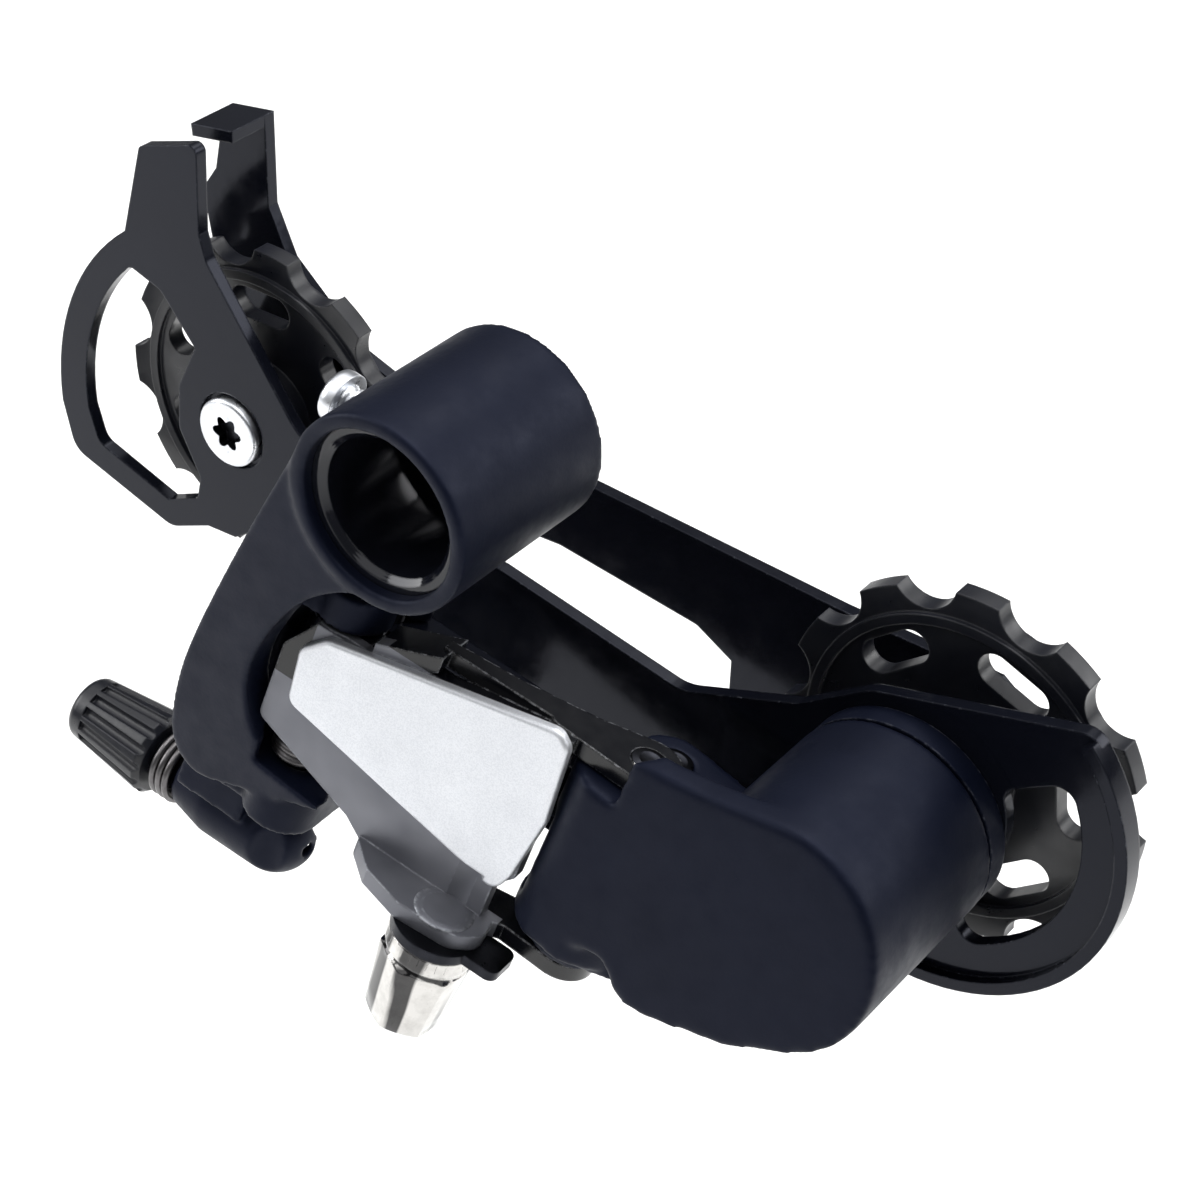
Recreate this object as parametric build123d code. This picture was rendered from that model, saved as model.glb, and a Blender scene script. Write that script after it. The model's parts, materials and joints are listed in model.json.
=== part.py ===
from build123d import *
import math
import os

# Rear bicycle derailleur, right-hand side, long cage, 11 tooth pulleys.
# Millimetres. +X is forward on the bicycle, +Y points inward to the wheel, +Z is up.
# The origin is the hanger bolt axis where it meets the hanger-side end of the bracket barrel.

# ---- driving dimensions: bracket barrel and hanger bolt ----
BARREL_RADIUS = 11.0
BARREL_LENGTH = 23.0
BUSHING_WALL = 1.6              # sleeve pressed into the barrel
BUSHING_SINK = 1.4              # how far the sleeve lies inside the barrel's outer end
BARREL_BORE_RADIUS = 9.3
BOLT_BORE_RADIUS = 5.1          # clears the M10 hanger bolt
BOLT_SEAT_LENGTH = 8.0          # narrow length of the sleeve at the hanger side

# ---- driving dimensions: parallelogram ----
LINK_LENGTH = 36.2              # between the two pins of one link
LINK_SPACING = 10.5             # between the outer and the inner link
PIN_LEAN = 16.6                 # degrees, pins lean forward at the top
PIN_SLANT = 10.5                # degrees, pins lean inward at the top
LINK_YAW = 5.5                  # degrees, the links run slightly inward at rest
OUTER_PIN_FOOT = (-19.9, -19.0, -48.2)   # lower end of the bracket's outer pin
PIN_RADIUS = 2.0
PIN_HEAD_RADIUS = 3.2
PIN_HEAD_HEIGHT = 0.9
LUG_RADIUS = 4.5
LINK_EYE_RADIUS = 4.2
FLANGE_THICKNESS = 2.0
FLANGE_EYE_RADIUS = 3.8
SWING = 48                      # degrees, from the smallest to the largest sprocket

# heights along the pins, measured from the lower end of the bracket's outer pin
BRACKET_LOWER_LUG = (0.6, 8.4)
BRACKET_UPPER_LUG = (29.2, 33.6)
OUTER_EYE = (12.4, 28.8)        # the outer link's eye on the bracket
KNUCKLE_FLANGE_LOW = 5.6        # underside of the outer link's lower flange
KNUCKLE_FLANGE_HIGH = 31.8      # underside of the outer link's upper flange
INNER_LINK = (13.2, 24.0)        # height span of the inner link
INNER_LUG_THICKNESS = 3.6

# ---- driving dimensions: outer link plate and cable clamp ----
PLATE_FACE_OFFSET = 5.6         # silver face, outward from the pin plane
PLATE_THICKNESS = 3.0
CLAMP_ALONG = 24.2              # clamp bolt, along the link
CLAMP_OUT = 6.6                 # clamp bolt, outward from the pin plane
CLAMP_COLLAR_RADIUS = 5.0
CLAMP_COLLAR_HEIGHT = 2.6
CLAMP_WASHER = 1.2
CLAMP_HEAD_RADIUS = 4.8
CLAMP_HEAD_TIP_RADIUS = 3.6
CLAMP_HEAD_HEIGHT = 9.8
CLAMP_THREAD_RADIUS = 2.5

# ---- driving dimensions: pulley knuckle and cage pivot ----
PIVOT_X = 43.9
PIVOT_Z = -35.1
KNUCKLE_RADIUS = 12.3
KNUCKLE_FRONT_Y = -18.0
KNUCKLE_BACK_Y = 4.65
KNUCKLE_WALL = 3.0
HINGE_RADIUS = 7.0              # bend of the knuckle round its outer pin
HINGE_DEPTH = 3.4               # from that pin to the flat inner side of the bend
AXLE_RADIUS = 4.0
AXLE_FLANGE_RADIUS = 8.5
AXLE_FLANGE_THICKNESS = 1.8
SPRING_WIRE = 1.8
SPRING_TURNS = 5
SPRING_CHAMBER = 16.5           # depth of the chamber in the knuckle
CHAMBER_WALL = 1.7
CORE_WALL = 1.6                 # of the sleeve round the axle

STOP_ANGLE = -118               # degrees round the pivot, the cage's stop pin at rest
STOP_RADIUS = 15.6
STOP_PIN_RADIUS = 1.6
STOP_DEPTH = 3.4                # how far pin and lug overlap along the pivot

# ---- driving dimensions: cage and pulleys ----
GUIDE_X = 46.5
GUIDE_Z = -32.1
TENSION_X = -48.8
TENSION_Z = -21.7
CAGE_OUTER_Y = 7.7              # outer face of the outer plate
CAGE_PLATE = 1.6
CAGE_GAP = 11.2                 # between the two plates
RIM_RADIUS = 23.6               # outer plate around the guide pulley
RIM_FLANGE = 1.1                # how far that rim turns outward
TEETH = 11
TIP_RADIUS = 21.2
SEAT_PITCH_RADIUS = 22.54
SEAT_RADIUS = 3.9
TOOTH_WIDTH = 2.3
PULLEY_BOLT_RADIUS = 2.5
BUSH_WALL = 1.1
PULLEY_HUB_RADIUS = 7.0
DUST_CAP_RADIUS = 7.6
DUST_CAP_THICKNESS = 1.2
BOLT_HEAD_RADIUS = 4.4
BOLT_HEAD_HEIGHT = 1.7

# ---- driving dimensions: adjuster and small screws ----
ADJUSTER_TILT = 10.0            # degrees, the adjuster points up towards its tip
ADJUSTER_ROOT = (-42.4, -14.0, -53.4)
ADJUSTER_LENGTH = 12.5
ADJUSTER_ROOT_RADIUS = 5.3
ADJUSTER_TIP_RADIUS = 3.9
HOUSING_RADIUS = 2.6            # seat for the 5 mm cable housing
HOUSING_DEPTH = 9.0
CABLE_HOLE_RADIUS = 0.9
STEM_RADIUS = 2.9
B_SCREW_RADIUS = 2.0
LIMIT_SCREW_RADIUS = 1.5

# ---- named clearances ----
PIN_FIT = 0.04                  # radial, pins in their eyes
BUSH_FIT = 0.04                 # radial, pulleys on their bushes and bushes on bolts
AXLE_FIT = 0.05                 # radial, cage axle in the knuckle
SCREW_FIT = 0.03                # radial, screws and pressed sleeves in their holes
FACE_GAP = 0.3                  # between faces that slide past each other
SWING_GAP = 0.8                 # round the links where they swing inside the castings


# ---- derived values ----
GUIDE = (GUIDE_X, GUIDE_Z)
TENSION = (TENSION_X, TENSION_Z)
PIVOT = (PIVOT_X, PIVOT_Z)
CAGE_INNER_Y = CAGE_OUTER_Y + CAGE_PLATE + CAGE_GAP
GAP_START_Y = CAGE_OUTER_Y + CAGE_PLATE
PULLEY_Y = GAP_START_Y + CAGE_GAP / 2

lean = math.tan(math.radians(PIN_LEAN))
slant = math.tan(math.radians(PIN_SLANT))
PIN_AXIS = Vector(lean, slant, 1).normalized()
yaw_x = math.cos(math.radians(LINK_YAW))
yaw_y = math.sin(math.radians(LINK_YAW))
LINK_DIRECTION = Vector(yaw_x, yaw_y, -(yaw_x * lean + yaw_y * slant)).normalized()
LINKS = Plane(origin=OUTER_PIN_FOOT, x_dir=LINK_DIRECTION, z_dir=PIN_AXIS)

OUTER_B = (0, 0)
OUTER_K = (LINK_LENGTH, 0)
INNER_B = (0, LINK_SPACING)
INNER_K = (LINK_LENGTH, LINK_SPACING)


# ---- small helpers ----
def side_plate(outline, y_from, y_to):
    """Extrude an outline drawn in X and Z between two places along Y."""
    plane = Plane(origin=(0, y_to, 0), x_dir=(1, 0, 0), z_dir=(0, -1, 0))
    return extrude(plane * outline, y_to - y_from)


def cross_cylinder(centre, radius, y_from, y_to):
    """A cylinder along Y."""
    return side_plate(Pos(*centre) * Circle(radius), y_from, y_to)


def upright(outline, low, high):
    """Extrude an outline drawn along and across the links between two heights on the pins."""
    return LINKS.location * (Pos(0, 0, low) * extrude(outline, high - low))


def upright_cylinder(centre, radius, low, high):
    """A cylinder along the link pins."""
    return upright(Pos(*centre) * Circle(radius), low, high)


def link_face(outline, out_from, out_to):
    """Extrude an outline drawn along the links and up the pins, at distances outward."""
    plane = Plane(origin=(0, -out_from, 0), x_dir=(1, 0, 0), z_dir=(0, -1, 0))
    return LINKS.location * extrude(plane * outline, out_to - out_from)


def capsule(first, first_radius, second, second_radius):
    """The outline that wraps two circles."""
    circles = [Pos(*first) * Circle(first_radius), Pos(*second) * Circle(second_radius)]
    return make_hull([edge for circle in circles for edge in circle.edges()])


def polygon(*points):
    return make_face(Polyline(*points, close=True))


def rounded(outline, radius, *corners):
    """Round the named corners of a flat outline."""
    chosen = [v for v in outline.vertices() if any((v.center() - Vector(*c)).length < 0.05 for c in corners)]
    return fillet(chosen, radius)


def touch_point(corner, radius, side):
    """Where the line from a corner touches a circle about the origin."""
    turn = math.atan2(corner[1], corner[0]) + side * math.acos(radius / math.hypot(*corner))
    return (radius * math.cos(turn), radius * math.sin(turn))


def along(origin, direction, shape):
    """Place a shape that was drawn along +Z on an axis."""
    return Plane(origin=origin, z_dir=direction).location * shape


# ---- axes that several pieces share ----
tilt = math.radians(ADJUSTER_TILT)
CABLE_AXIS = Vector(-math.cos(tilt), 0, math.sin(tilt))
BOSS_RADIUS = 4.9
BOSS_LENGTH = 13.2
SPRING_BAY = 4.2                # between the adjuster barrel and its boss
BOSS_START = Vector(*ADJUSTER_ROOT) - CABLE_AXIS * SPRING_BAY
BOSS_END = BOSS_START - CABLE_AXIS * BOSS_LENGTH

B_SCREW_TILT = math.radians(14)
B_SCREW_AXIS = Vector(math.cos(B_SCREW_TILT), 0, -math.sin(B_SCREW_TILT))
B_SCREW_HEAD = Vector(-27.9, 2.6, -6.9)
B_SCREW_HEAD_RADIUS = 3.2
B_SCREW_HEAD_HEIGHT = 2.4
B_SCREW_LENGTH = 15.5

LIMIT_HEIGHT = 16.0
HIGH_SCREW_ACROSS = 7.0
LOW_SCREW_ACROSS = 11.6
LIMIT_HEAD_RADIUS = 2.3
LIMIT_HEAD_HEIGHT = 1.8
LIMIT_HEAD_ALONG = -15.9
HIGH_TIP_ALONG = -4.5
LOW_TIP_ALONG = -6.6


def boss_axis(shape):
    return along(BOSS_END, CABLE_AXIS, shape)


# ---- bracket ----
def arm_outline():
    """The C-shaped arm, seen from outside."""
    back_edge = Spline((-10.2, 4.1), (-17.6, -8.1), (-24.6, -20.4), (-29.4, -30.1), (-32.0, -39.2))
    heel = Polyline((-32.0, -39.2), (-31.6, -45.4), (-7.0, -41.0), (-12.2, -37.6))
    cut = Spline((-12.2, -37.6), (-18.4, -36.4), (-20.0, -29.5), (-16.6, -21.3), (-10.6, -14.4), (-3.0, -10.6))
    close = Polyline((-3.0, -10.6), (0.0, 0.0), (-10.2, 4.1))
    outline = make_face([*back_edge.edges(), *heel.edges(), *cut.edges(), *close.edges()])
    return rounded(outline, 4.2, (-31.6, -45.4, 0))


def arm_wall_outline():
    """The wall behind the arm that carries the pin lugs."""
    outer = Spline((-10.2, 4.1), (-17.6, -8.1), (-24.6, -20.4), (-29.4, -30.1), (-32.0, -39.2))
    foot = Polyline((-32.0, -39.2), (-31.6, -45.4), (-25.0, -44.4))
    inner = Spline((-25.0, -44.4), (-24.6, -34.0), (-20.6, -22.6), (-12.0, -11.0), (-4.0, -2.0))
    close = Polyline((-4.0, -2.0), (-10.2, 4.1))
    return make_face([*outer.edges(), *foot.edges(), *inner.edges(), *close.edges()])


def make_bracket():
    barrel = cross_cylinder((0, 0), BARREL_RADIUS, -BARREL_LENGTH, 0)
    arm = side_plate(arm_outline(), -BARREL_LENGTH + 0.4, -BARREL_LENGTH + 4.4)
    wall = side_plate(arm_wall_outline(), -BARREL_LENGTH + 4.0, -3.0)
    lug_reach = -8.5
    lower_shape = capsule(OUTER_B, LUG_RADIUS, INNER_B, LUG_RADIUS)
    lower_shape += Pos(lug_reach / 2, LINK_SPACING / 2) * Rectangle(-lug_reach, LINK_SPACING + LUG_RADIUS)
    lower_lug = upright(lower_shape, *BRACKET_LOWER_LUG)
    upper_shape = Pos(*OUTER_B) * Circle(LUG_RADIUS)
    upper_shape += Pos(-5.5, 2.0) * Rectangle(11, 2 * LUG_RADIUS + 3)
    upper_lug = upright(upper_shape, *BRACKET_UPPER_LUG)
    inner_low = INNER_LINK[1] + FACE_GAP
    inner_shape = Pos(*INNER_B) * Circle(LUG_RADIUS)
    inner_shape += Pos(-5.0, LINK_SPACING) * Rectangle(10, 2 * LUG_RADIUS)
    inner_lug = upright(inner_shape, inner_low, inner_low + INNER_LUG_THICKNESS)
    rib = upright(Pos(-6.5, 2.5) * Rectangle(9, 10), BRACKET_UPPER_LUG[0], BRACKET_UPPER_LUG[1] + 12)
    neck_length = 5.0
    bottom = (Align.CENTER, Align.CENTER, Align.MIN)
    boss = boss_axis(Cylinder(BOSS_RADIUS, BOSS_LENGTH - neck_length, align=bottom))
    neck_base = BOSS_END + CABLE_AXIS * (BOSS_LENGTH - neck_length)
    neck = along(neck_base, CABLE_AXIS, Cone(BOSS_RADIUS, BOSS_RADIUS - 1.1, neck_length, align=bottom))
    nose = Pos(*BOSS_END) * Sphere(BOSS_RADIUS)
    boss_web = upright(Pos(-9.5, 5.2) * Rectangle(9, 7.0), -6.5, BRACKET_LOWER_LUG[0] + 1)
    screw_block = side_plate(
        polygon((-18.8, -4.6), (-8.0, -2.0), (-4.0, -8.0), (-11.6, -15.6), (-18.8, -14.0)), -8.0, -0.4)
    screw_lug = side_plate(polygon((-18.8, -4.6), (-12.2, -5.6), (-11.6, -15.6), (-18.8, -14.0)), -1.0, 5.9)
    limit_block = upright(
        Pos(-9.4, (HIGH_SCREW_ACROSS + LOW_SCREW_ACROSS) / 2) * Rectangle(5.6, 10.4),
        LIMIT_HEIGHT - 3.4, LIMIT_HEIGHT + 3.4)
    inner_foot = upright_cylinder(INNER_B, LUG_RADIUS, BRACKET_LOWER_LUG[1], INNER_LINK[0] - FACE_GAP)
    body = barrel + arm + wall + lower_lug + upper_lug + inner_lug + rib
    body += boss + neck + nose + boss_web + screw_block + screw_lug + limit_block

    # room for the links over their whole swing
    eye_room = LINK_EYE_RADIUS + SWING_GAP
    low = BRACKET_LOWER_LUG[1]
    high = BRACKET_UPPER_LUG[0]
    outer_room = capsule(OUTER_B, eye_room, (20, 0), eye_room) + capsule(OUTER_B, eye_room, (14, 16), eye_room)
    outer_room += Pos(8, -8) * Rectangle(22, 16)
    body -= upright(outer_room, low, high)
    inner_room = capsule(INNER_B, LUG_RADIUS + 0.3, (20, LINK_SPACING), LUG_RADIUS + 0.3)
    inner_room += capsule(INNER_B, LUG_RADIUS + 0.3, (14, LINK_SPACING + 16), LUG_RADIUS + 0.3)
    body -= upright(inner_room, INNER_LINK[0] - FACE_GAP, inner_low)
    body += inner_foot

    # holes
    for centre in (OUTER_B, INNER_B):
        body -= upright_cylinder(centre, PIN_RADIUS + PIN_FIT, -2, BRACKET_UPPER_LUG[1] + 3)
        body -= upright_cylinder(centre, PIN_HEAD_RADIUS + 0.3, -12, BRACKET_LOWER_LUG[0])
    body -= cross_cylinder((0, 0), BARREL_BORE_RADIUS, -BARREL_LENGTH - 1, 1)
    cable_hole = Cylinder(CABLE_HOLE_RADIUS, 60)
    body -= boss_axis(cable_hole)
    thread = Cylinder(STEM_RADIUS, BOSS_LENGTH, align=(Align.CENTER, Align.CENTER, Align.MIN))
    body -= along(BOSS_START - CABLE_AXIS * 10, CABLE_AXIS, thread)
    body -= along(B_SCREW_HEAD, B_SCREW_AXIS, Cylinder(B_SCREW_RADIUS + SCREW_FIT, 60))
    for across in (HIGH_SCREW_ACROSS, LOW_SCREW_ACROSS):
        body -= link_rod(across, LIMIT_HEIGHT, LIMIT_SCREW_RADIUS + SCREW_FIT, -30, 0)
    return body


def link_rod(across, height, radius, start, end):
    """A rod that runs along the links' own direction."""
    rod = Cylinder(radius, end - start, align=(Align.CENTER, Align.CENTER, Align.MIN))
    return LINKS.location * (Pos(start, across, height) * Rot(0, 90, 0) * rod)


def make_bushing():
    outer = BARREL_BORE_RADIUS - SCREW_FIT
    inner = BARREL_BORE_RADIUS - BUSHING_WALL
    start = -BARREL_LENGTH + BUSHING_SINK
    sleeve = cross_cylinder((0, 0), outer, start, 0) - cross_cylinder((0, 0), inner, start - 1, -BOLT_SEAT_LENGTH)
    sleeve -= cross_cylinder((0, 0), BOLT_BORE_RADIUS, -BARREL_LENGTH, 1)
    rim = sleeve.edges().filter_by(GeomType.CIRCLE).group_by(Axis.Y)[0]
    return chamfer(rim.sort_by(SortBy.LENGTH)[0], 0.7)


def screw(radius, length, head_radius, head_height, slot_width):
    """A slotted screw drawn along +Z, head at the origin."""
    bottom = (Align.CENTER, Align.CENTER, Align.MIN)
    head = Cylinder(head_radius, head_height, align=bottom)
    head = chamfer(head.edges().group_by(Axis.Z)[0], 0.4)
    body = head + Cylinder(radius, length, align=bottom)
    body = chamfer(body.edges().group_by(Axis.Z)[-1], 0.35)
    slot = Box(2 * head_radius + 1, slot_width, head_height, align=bottom)
    return body - slot.moved(Location((0, 0, -head_height * 0.45)))


def make_b_screw():
    blank = screw(B_SCREW_RADIUS, B_SCREW_LENGTH, B_SCREW_HEAD_RADIUS, B_SCREW_HEAD_HEIGHT, 1.0)
    return along(B_SCREW_HEAD, B_SCREW_AXIS, blank)


def make_limit_screw(across, tip):
    blank = screw(LIMIT_SCREW_RADIUS, tip - LIMIT_HEAD_ALONG, LIMIT_HEAD_RADIUS, LIMIT_HEAD_HEIGHT, 0.8)
    return LINKS.location * (Pos(LIMIT_HEAD_ALONG, across, LIMIT_HEIGHT) * Rot(0, 90, 0) * blank)


# ---- cable adjuster ----
def make_adjuster():
    bottom = (Align.CENTER, Align.CENTER, Align.MIN)
    body = Cone(ADJUSTER_ROOT_RADIUS, ADJUSTER_TIP_RADIUS, ADJUSTER_LENGTH, align=bottom)
    body = fillet(body.edges().group_by(Axis.Z)[-1], 1.1)
    body = chamfer(body.edges().group_by(Axis.Z)[0], 0.7)
    groove_count = 14
    slope = math.degrees(math.atan2(ADJUSTER_ROOT_RADIUS - ADJUSTER_TIP_RADIUS, ADJUSTER_LENGTH))
    groove = Pos(ADJUSTER_ROOT_RADIUS + 0.15, 0, -1) * Rot(0, -slope, 0) * Cylinder(0.62, ADJUSTER_LENGTH - 1.2, align=bottom)
    for turn in range(groove_count):
        body -= Rot(0, 0, turn * 360 / groove_count) * groove
    body -= Cylinder(STEM_RADIUS + SCREW_FIT, ADJUSTER_LENGTH + 1, align=bottom)
    return along(ADJUSTER_ROOT, CABLE_AXIS, body)


def make_adjuster_stem():
    """The hollow threaded stem that the housing seats in; it screws into the bracket boss."""
    bottom = (Align.CENTER, Align.CENTER, Align.MIN)
    engaged = 9.5
    length = engaged + SPRING_BAY + ADJUSTER_LENGTH
    stem = Cylinder(STEM_RADIUS - SCREW_FIT, length, align=bottom)
    stem -= Pos(0, 0, length - HOUSING_DEPTH) * Cylinder(HOUSING_RADIUS, HOUSING_DEPTH + 1, align=bottom)
    stem -= Cylinder(CABLE_HOLE_RADIUS, length, align=bottom)
    return along(BOSS_START - CABLE_AXIS * engaged, CABLE_AXIS, stem)


def coil(mean_radius, wire, turns, height):
    """A wire coil along +Z that starts at the origin plane."""
    path = Helix(pitch=(height - wire) / turns, height=height - wire, radius=mean_radius)
    start = Plane(origin=path @ 0, z_dir=path % 0)
    return Pos(0, 0, wire / 2) * sweep(start * Circle(wire / 2), path)


def make_adjuster_spring():
    spring = coil(STEM_RADIUS + 0.9, 0.9, 3, SPRING_BAY - 2 * 0.15)
    return along(BOSS_START + CABLE_AXIS * 0.15, CABLE_AXIS, spring)


# ---- parallelogram ----
def make_pin(centre, low, high):
    """A riveted pin with a round head at its lower end."""
    shank = upright_cylinder(centre, PIN_RADIUS, low, high)
    head = upright_cylinder(centre, PIN_HEAD_RADIUS, low - PIN_HEAD_HEIGHT, low)
    return shank + head


def flange_outline():
    """The upper flange, from the plate to the knuckle's outer pin."""
    end = capsule((27.0, -1.2), 2.0, OUTER_K, FLANGE_EYE_RADIUS)
    blade = polygon((12.0, -2.6), (29.0, -2.6), (33.0, -2.0), (33.0, 2.4), (20.0, -0.2), (12.0, -1.0))
    return end + blade


def clear_swing(body, outline, centre, low, high, steps):
    """Cut the room that an outline needs while it turns about a pin through the links' swing."""
    for step in range(steps + 1):
        angle = (SWING + 3) * step / steps
        turned = Pos(*centre) * Rot(0, 0, angle) * Pos(-centre[0], -centre[1]) * outline
        body -= upright(turned, low, high)
    return body


def make_outer_link():
    base_out = PLATE_FACE_OFFSET - PLATE_THICKNESS
    step_out = PLATE_FACE_OFFSET - 1.2
    reach = HINGE_RADIUS + SWING_GAP / 2
    edge = LINK_LENGTH - math.sqrt(reach**2 - base_out**2)
    face_edge = LINK_LENGTH - math.sqrt(reach**2 - step_out**2)
    top = KNUCKLE_FLANGE_HIGH + FLANGE_THICKNESS
    lobe_high = KNUCKLE_FLANGE_LOW + FLANGE_THICKNESS
    base = polygon((-4.4, 14.0), (9.2, 8.9), (13.6, KNUCKLE_FLANGE_LOW), (27.4, KNUCKLE_FLANGE_LOW),
                   (27.4, 12.4), (edge, 14.6), (edge, top), (7.0, 30.4), (5.0, 28.7), (-1.4, 28.6),
                   (-4.4, 24.0))
    base = rounded(base, 1.2, (-4.4, 14.0, 0), (-4.4, 24.0, 0))
    web = link_face(base, base_out, step_out)
    corner = face_edge - 1.2
    face = polygon((-1.4, 18.4), (28.0, 12.4), (corner, 15.2), (face_edge, 23.8), (corner + 0.4, 33.4),
                   (27.8, 34.8), (0.6, 28.3), (-2.1, 25.4))
    face = rounded(face, 1.6, (-1.4, 18.4, 0), (28.0, 12.4, 0), (corner + 0.4, 33.4, 0), (27.8, 34.8, 0),
                   (0.6, 28.3, 0), (-2.1, 25.4, 0))
    face_pad = link_face(face, step_out - 0.01, PLATE_FACE_OFFSET)
    face_rim = face_pad.faces().sort_by(Axis((0, 0, 0), tuple(LINKS.y_dir)))[0]
    face_pad = fillet(face_rim.edges(), 0.5)

    eye = upright_cylinder(OUTER_B, LINK_EYE_RADIUS, *OUTER_EYE)
    eye_web = upright(Pos(1.5, -base_out / 2 - 0.6) * Rectangle(6, base_out + 1.2), OUTER_EYE[0] + 1, OUTER_EYE[1])

    # flanges at the knuckle end, with the clamp lobe on the lower one
    end = capsule((27.0, -1.2), 2.0, OUTER_K, FLANGE_EYE_RADIUS)
    blade = polygon((12.0, -step_out), (28.0, -step_out), (33.0, -2.0), (33.0, 2.4), (20.0, -0.2), (12.0, -2.0))
    lower_flange = upright(end + blade, KNUCKLE_FLANGE_LOW, lobe_high)
    upper_flange = upright(flange_outline(), KNUCKLE_FLANGE_HIGH, top)
    ramp_low = polygon((5.4, 27.0), (13.0, KNUCKLE_FLANGE_HIGH), (13.0, top), (5.4, 30.6))
    top_ramp = link_face(ramp_low, -0.6, step_out)
    lobe_edge = CLAMP_OUT + CLAMP_THREAD_RADIUS + 0.8
    lobe = polygon((11.0, -base_out), (11.6, -5.0), (15.0, -8.2), (20.2, -lobe_edge), (27.0, -lobe_edge + 0.6),
                   (29.4, -7.0), (28.6, -2.4), (27.0, -base_out))
    lobe = rounded(lobe, 2.4, (11.6, -5.0, 0), (20.2, -lobe_edge, 0), (27.0, -lobe_edge + 0.6, 0), (29.4, -7.0, 0))
    lobe_plate = upright(lobe, KNUCKLE_FLANGE_LOW, lobe_high)
    throat_start = (-step_out, 12.6)
    throat_end = (-step_out - 4.4, lobe_high - 0.1)
    throat_curve = ThreePointArc(throat_start, (-step_out - 1.1, lobe_high + 1.3), throat_end)
    throat_back = Polyline(throat_end, (-base_out, lobe_high - 0.1), (-base_out, 12.6), throat_start)
    throat = make_face([*throat_curve.edges(), *throat_back.edges()])
    throat_plane = Plane(origin=(10.6, 0, 0), x_dir=(0, 1, 0), z_dir=(1, 0, 0))
    throat_fill = LINKS.location * extrude(throat_plane * throat, 18.4)
    throat_fill = throat_fill & upright(lobe + Pos(19.2, -step_out / 2) * Rectangle(16.4, step_out), 2, 20)
    link = web + face_pad + eye + eye_web + lower_flange + upper_flange + top_ramp + lobe_plate + throat_fill
    link -= upright_cylinder(OUTER_B, PIN_RADIUS + PIN_FIT, OUTER_EYE[0] - 1, OUTER_EYE[1] + 8)
    link -= upright_cylinder(OUTER_K, PIN_RADIUS + PIN_FIT, 0, top + 1)
    clamp = (CLAMP_ALONG, -CLAMP_OUT)
    link -= upright_cylinder(clamp, CLAMP_THREAD_RADIUS + SCREW_FIT, 0, lobe_high + 6)
    return link


def make_inner_link():
    low, high = INNER_LINK
    half = 2.3
    middle = Pos(LINK_LENGTH / 2, LINK_SPACING + 0.9) * Rectangle(LINK_LENGTH, 1.8)
    web = upright(middle, low, high)
    flange = capsule(INNER_B, half + 0.9, INNER_K, half + 0.9)
    flanges = upright(flange, low, low + FLANGE_THICKNESS) + upright(flange, high - FLANGE_THICKNESS, high)
    eyes = upright_cylinder(INNER_B, half + 0.9, low, high) + upright_cylinder(INNER_K, half + 0.9, low, high)
    ear_low = LIMIT_HEIGHT - 1.6
    high_ear = Pos(-2.8, HIGH_SCREW_ACROSS + 0.5) * Rectangle(2.8, 2.4)
    low_ear = Pos(-1.4, LINK_SPACING + 3.2) * Rectangle(5.6, 2.4)
    ears = upright(high_ear + low_ear, ear_low, ear_low + 3.2)
    link = web + flanges + eyes + ears
    for centre in (INNER_B, INNER_K):
        link -= upright_cylinder(centre, PIN_RADIUS + PIN_FIT, low - 1, high + 1)
    return link


def make_link_spring():
    low = BRACKET_LOWER_LUG[1] + 0.15
    high = OUTER_EYE[0] - 0.15
    return LINKS.location * (Pos(0, 0, low) * coil(PIN_RADIUS + 1.0, 1.1, 2.5, high - low))


def make_clamp_bolt():
    collar_top = KNUCKLE_FLANGE_LOW - CLAMP_WASHER
    clamp = (CLAMP_ALONG, -CLAMP_OUT)
    collar = upright_cylinder(clamp, CLAMP_COLLAR_RADIUS, collar_top - CLAMP_COLLAR_HEIGHT, collar_top)
    cone = Cone(CLAMP_HEAD_TIP_RADIUS, CLAMP_HEAD_RADIUS, CLAMP_HEAD_HEIGHT,
                align=(Align.CENTER, Align.CENTER, Align.MAX))
    flats = Pos(0, 0, -CLAMP_HEAD_HEIGHT) * extrude(RegularPolygon(CLAMP_HEAD_RADIUS + 0.1, 6), CLAMP_HEAD_HEIGHT - 1.5)
    head_at = Pos(CLAMP_ALONG, -CLAMP_OUT, collar_top - CLAMP_COLLAR_HEIGHT)
    shoulder = Pos(0, 0, -1.6) * Cylinder(CLAMP_HEAD_RADIUS, 1.6, align=(Align.CENTER, Align.CENTER, Align.MIN))
    head = LINKS.location * (head_at * ((cone & flats) + (shoulder & cone)))
    top = KNUCKLE_FLANGE_LOW + FLANGE_THICKNESS + 0.8
    thread = upright_cylinder(clamp, CLAMP_THREAD_RADIUS, collar_top, top)
    socket = upright_cylinder(clamp, 2.3, -30, collar_top - CLAMP_COLLAR_HEIGHT - CLAMP_HEAD_HEIGHT + 1.2)
    return collar + head + thread - socket


def make_clamp_washer():
    """The keyed washer that presses the cable onto the lobe."""
    low = KNUCKLE_FLANGE_LOW - CLAMP_WASHER
    shape = Pos(CLAMP_ALONG, -CLAMP_OUT) * Circle(CLAMP_COLLAR_RADIUS + 0.1)
    shape += Pos(CLAMP_ALONG + 5.6, -CLAMP_OUT + 0.4) * RectangleRounded(6.0, 5.0, 1.2)
    washer = upright(shape, low, KNUCKLE_FLANGE_LOW)
    return washer - upright_cylinder((CLAMP_ALONG, -CLAMP_OUT), CLAMP_THREAD_RADIUS + SCREW_FIT, low - 1, low + 2)


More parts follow.
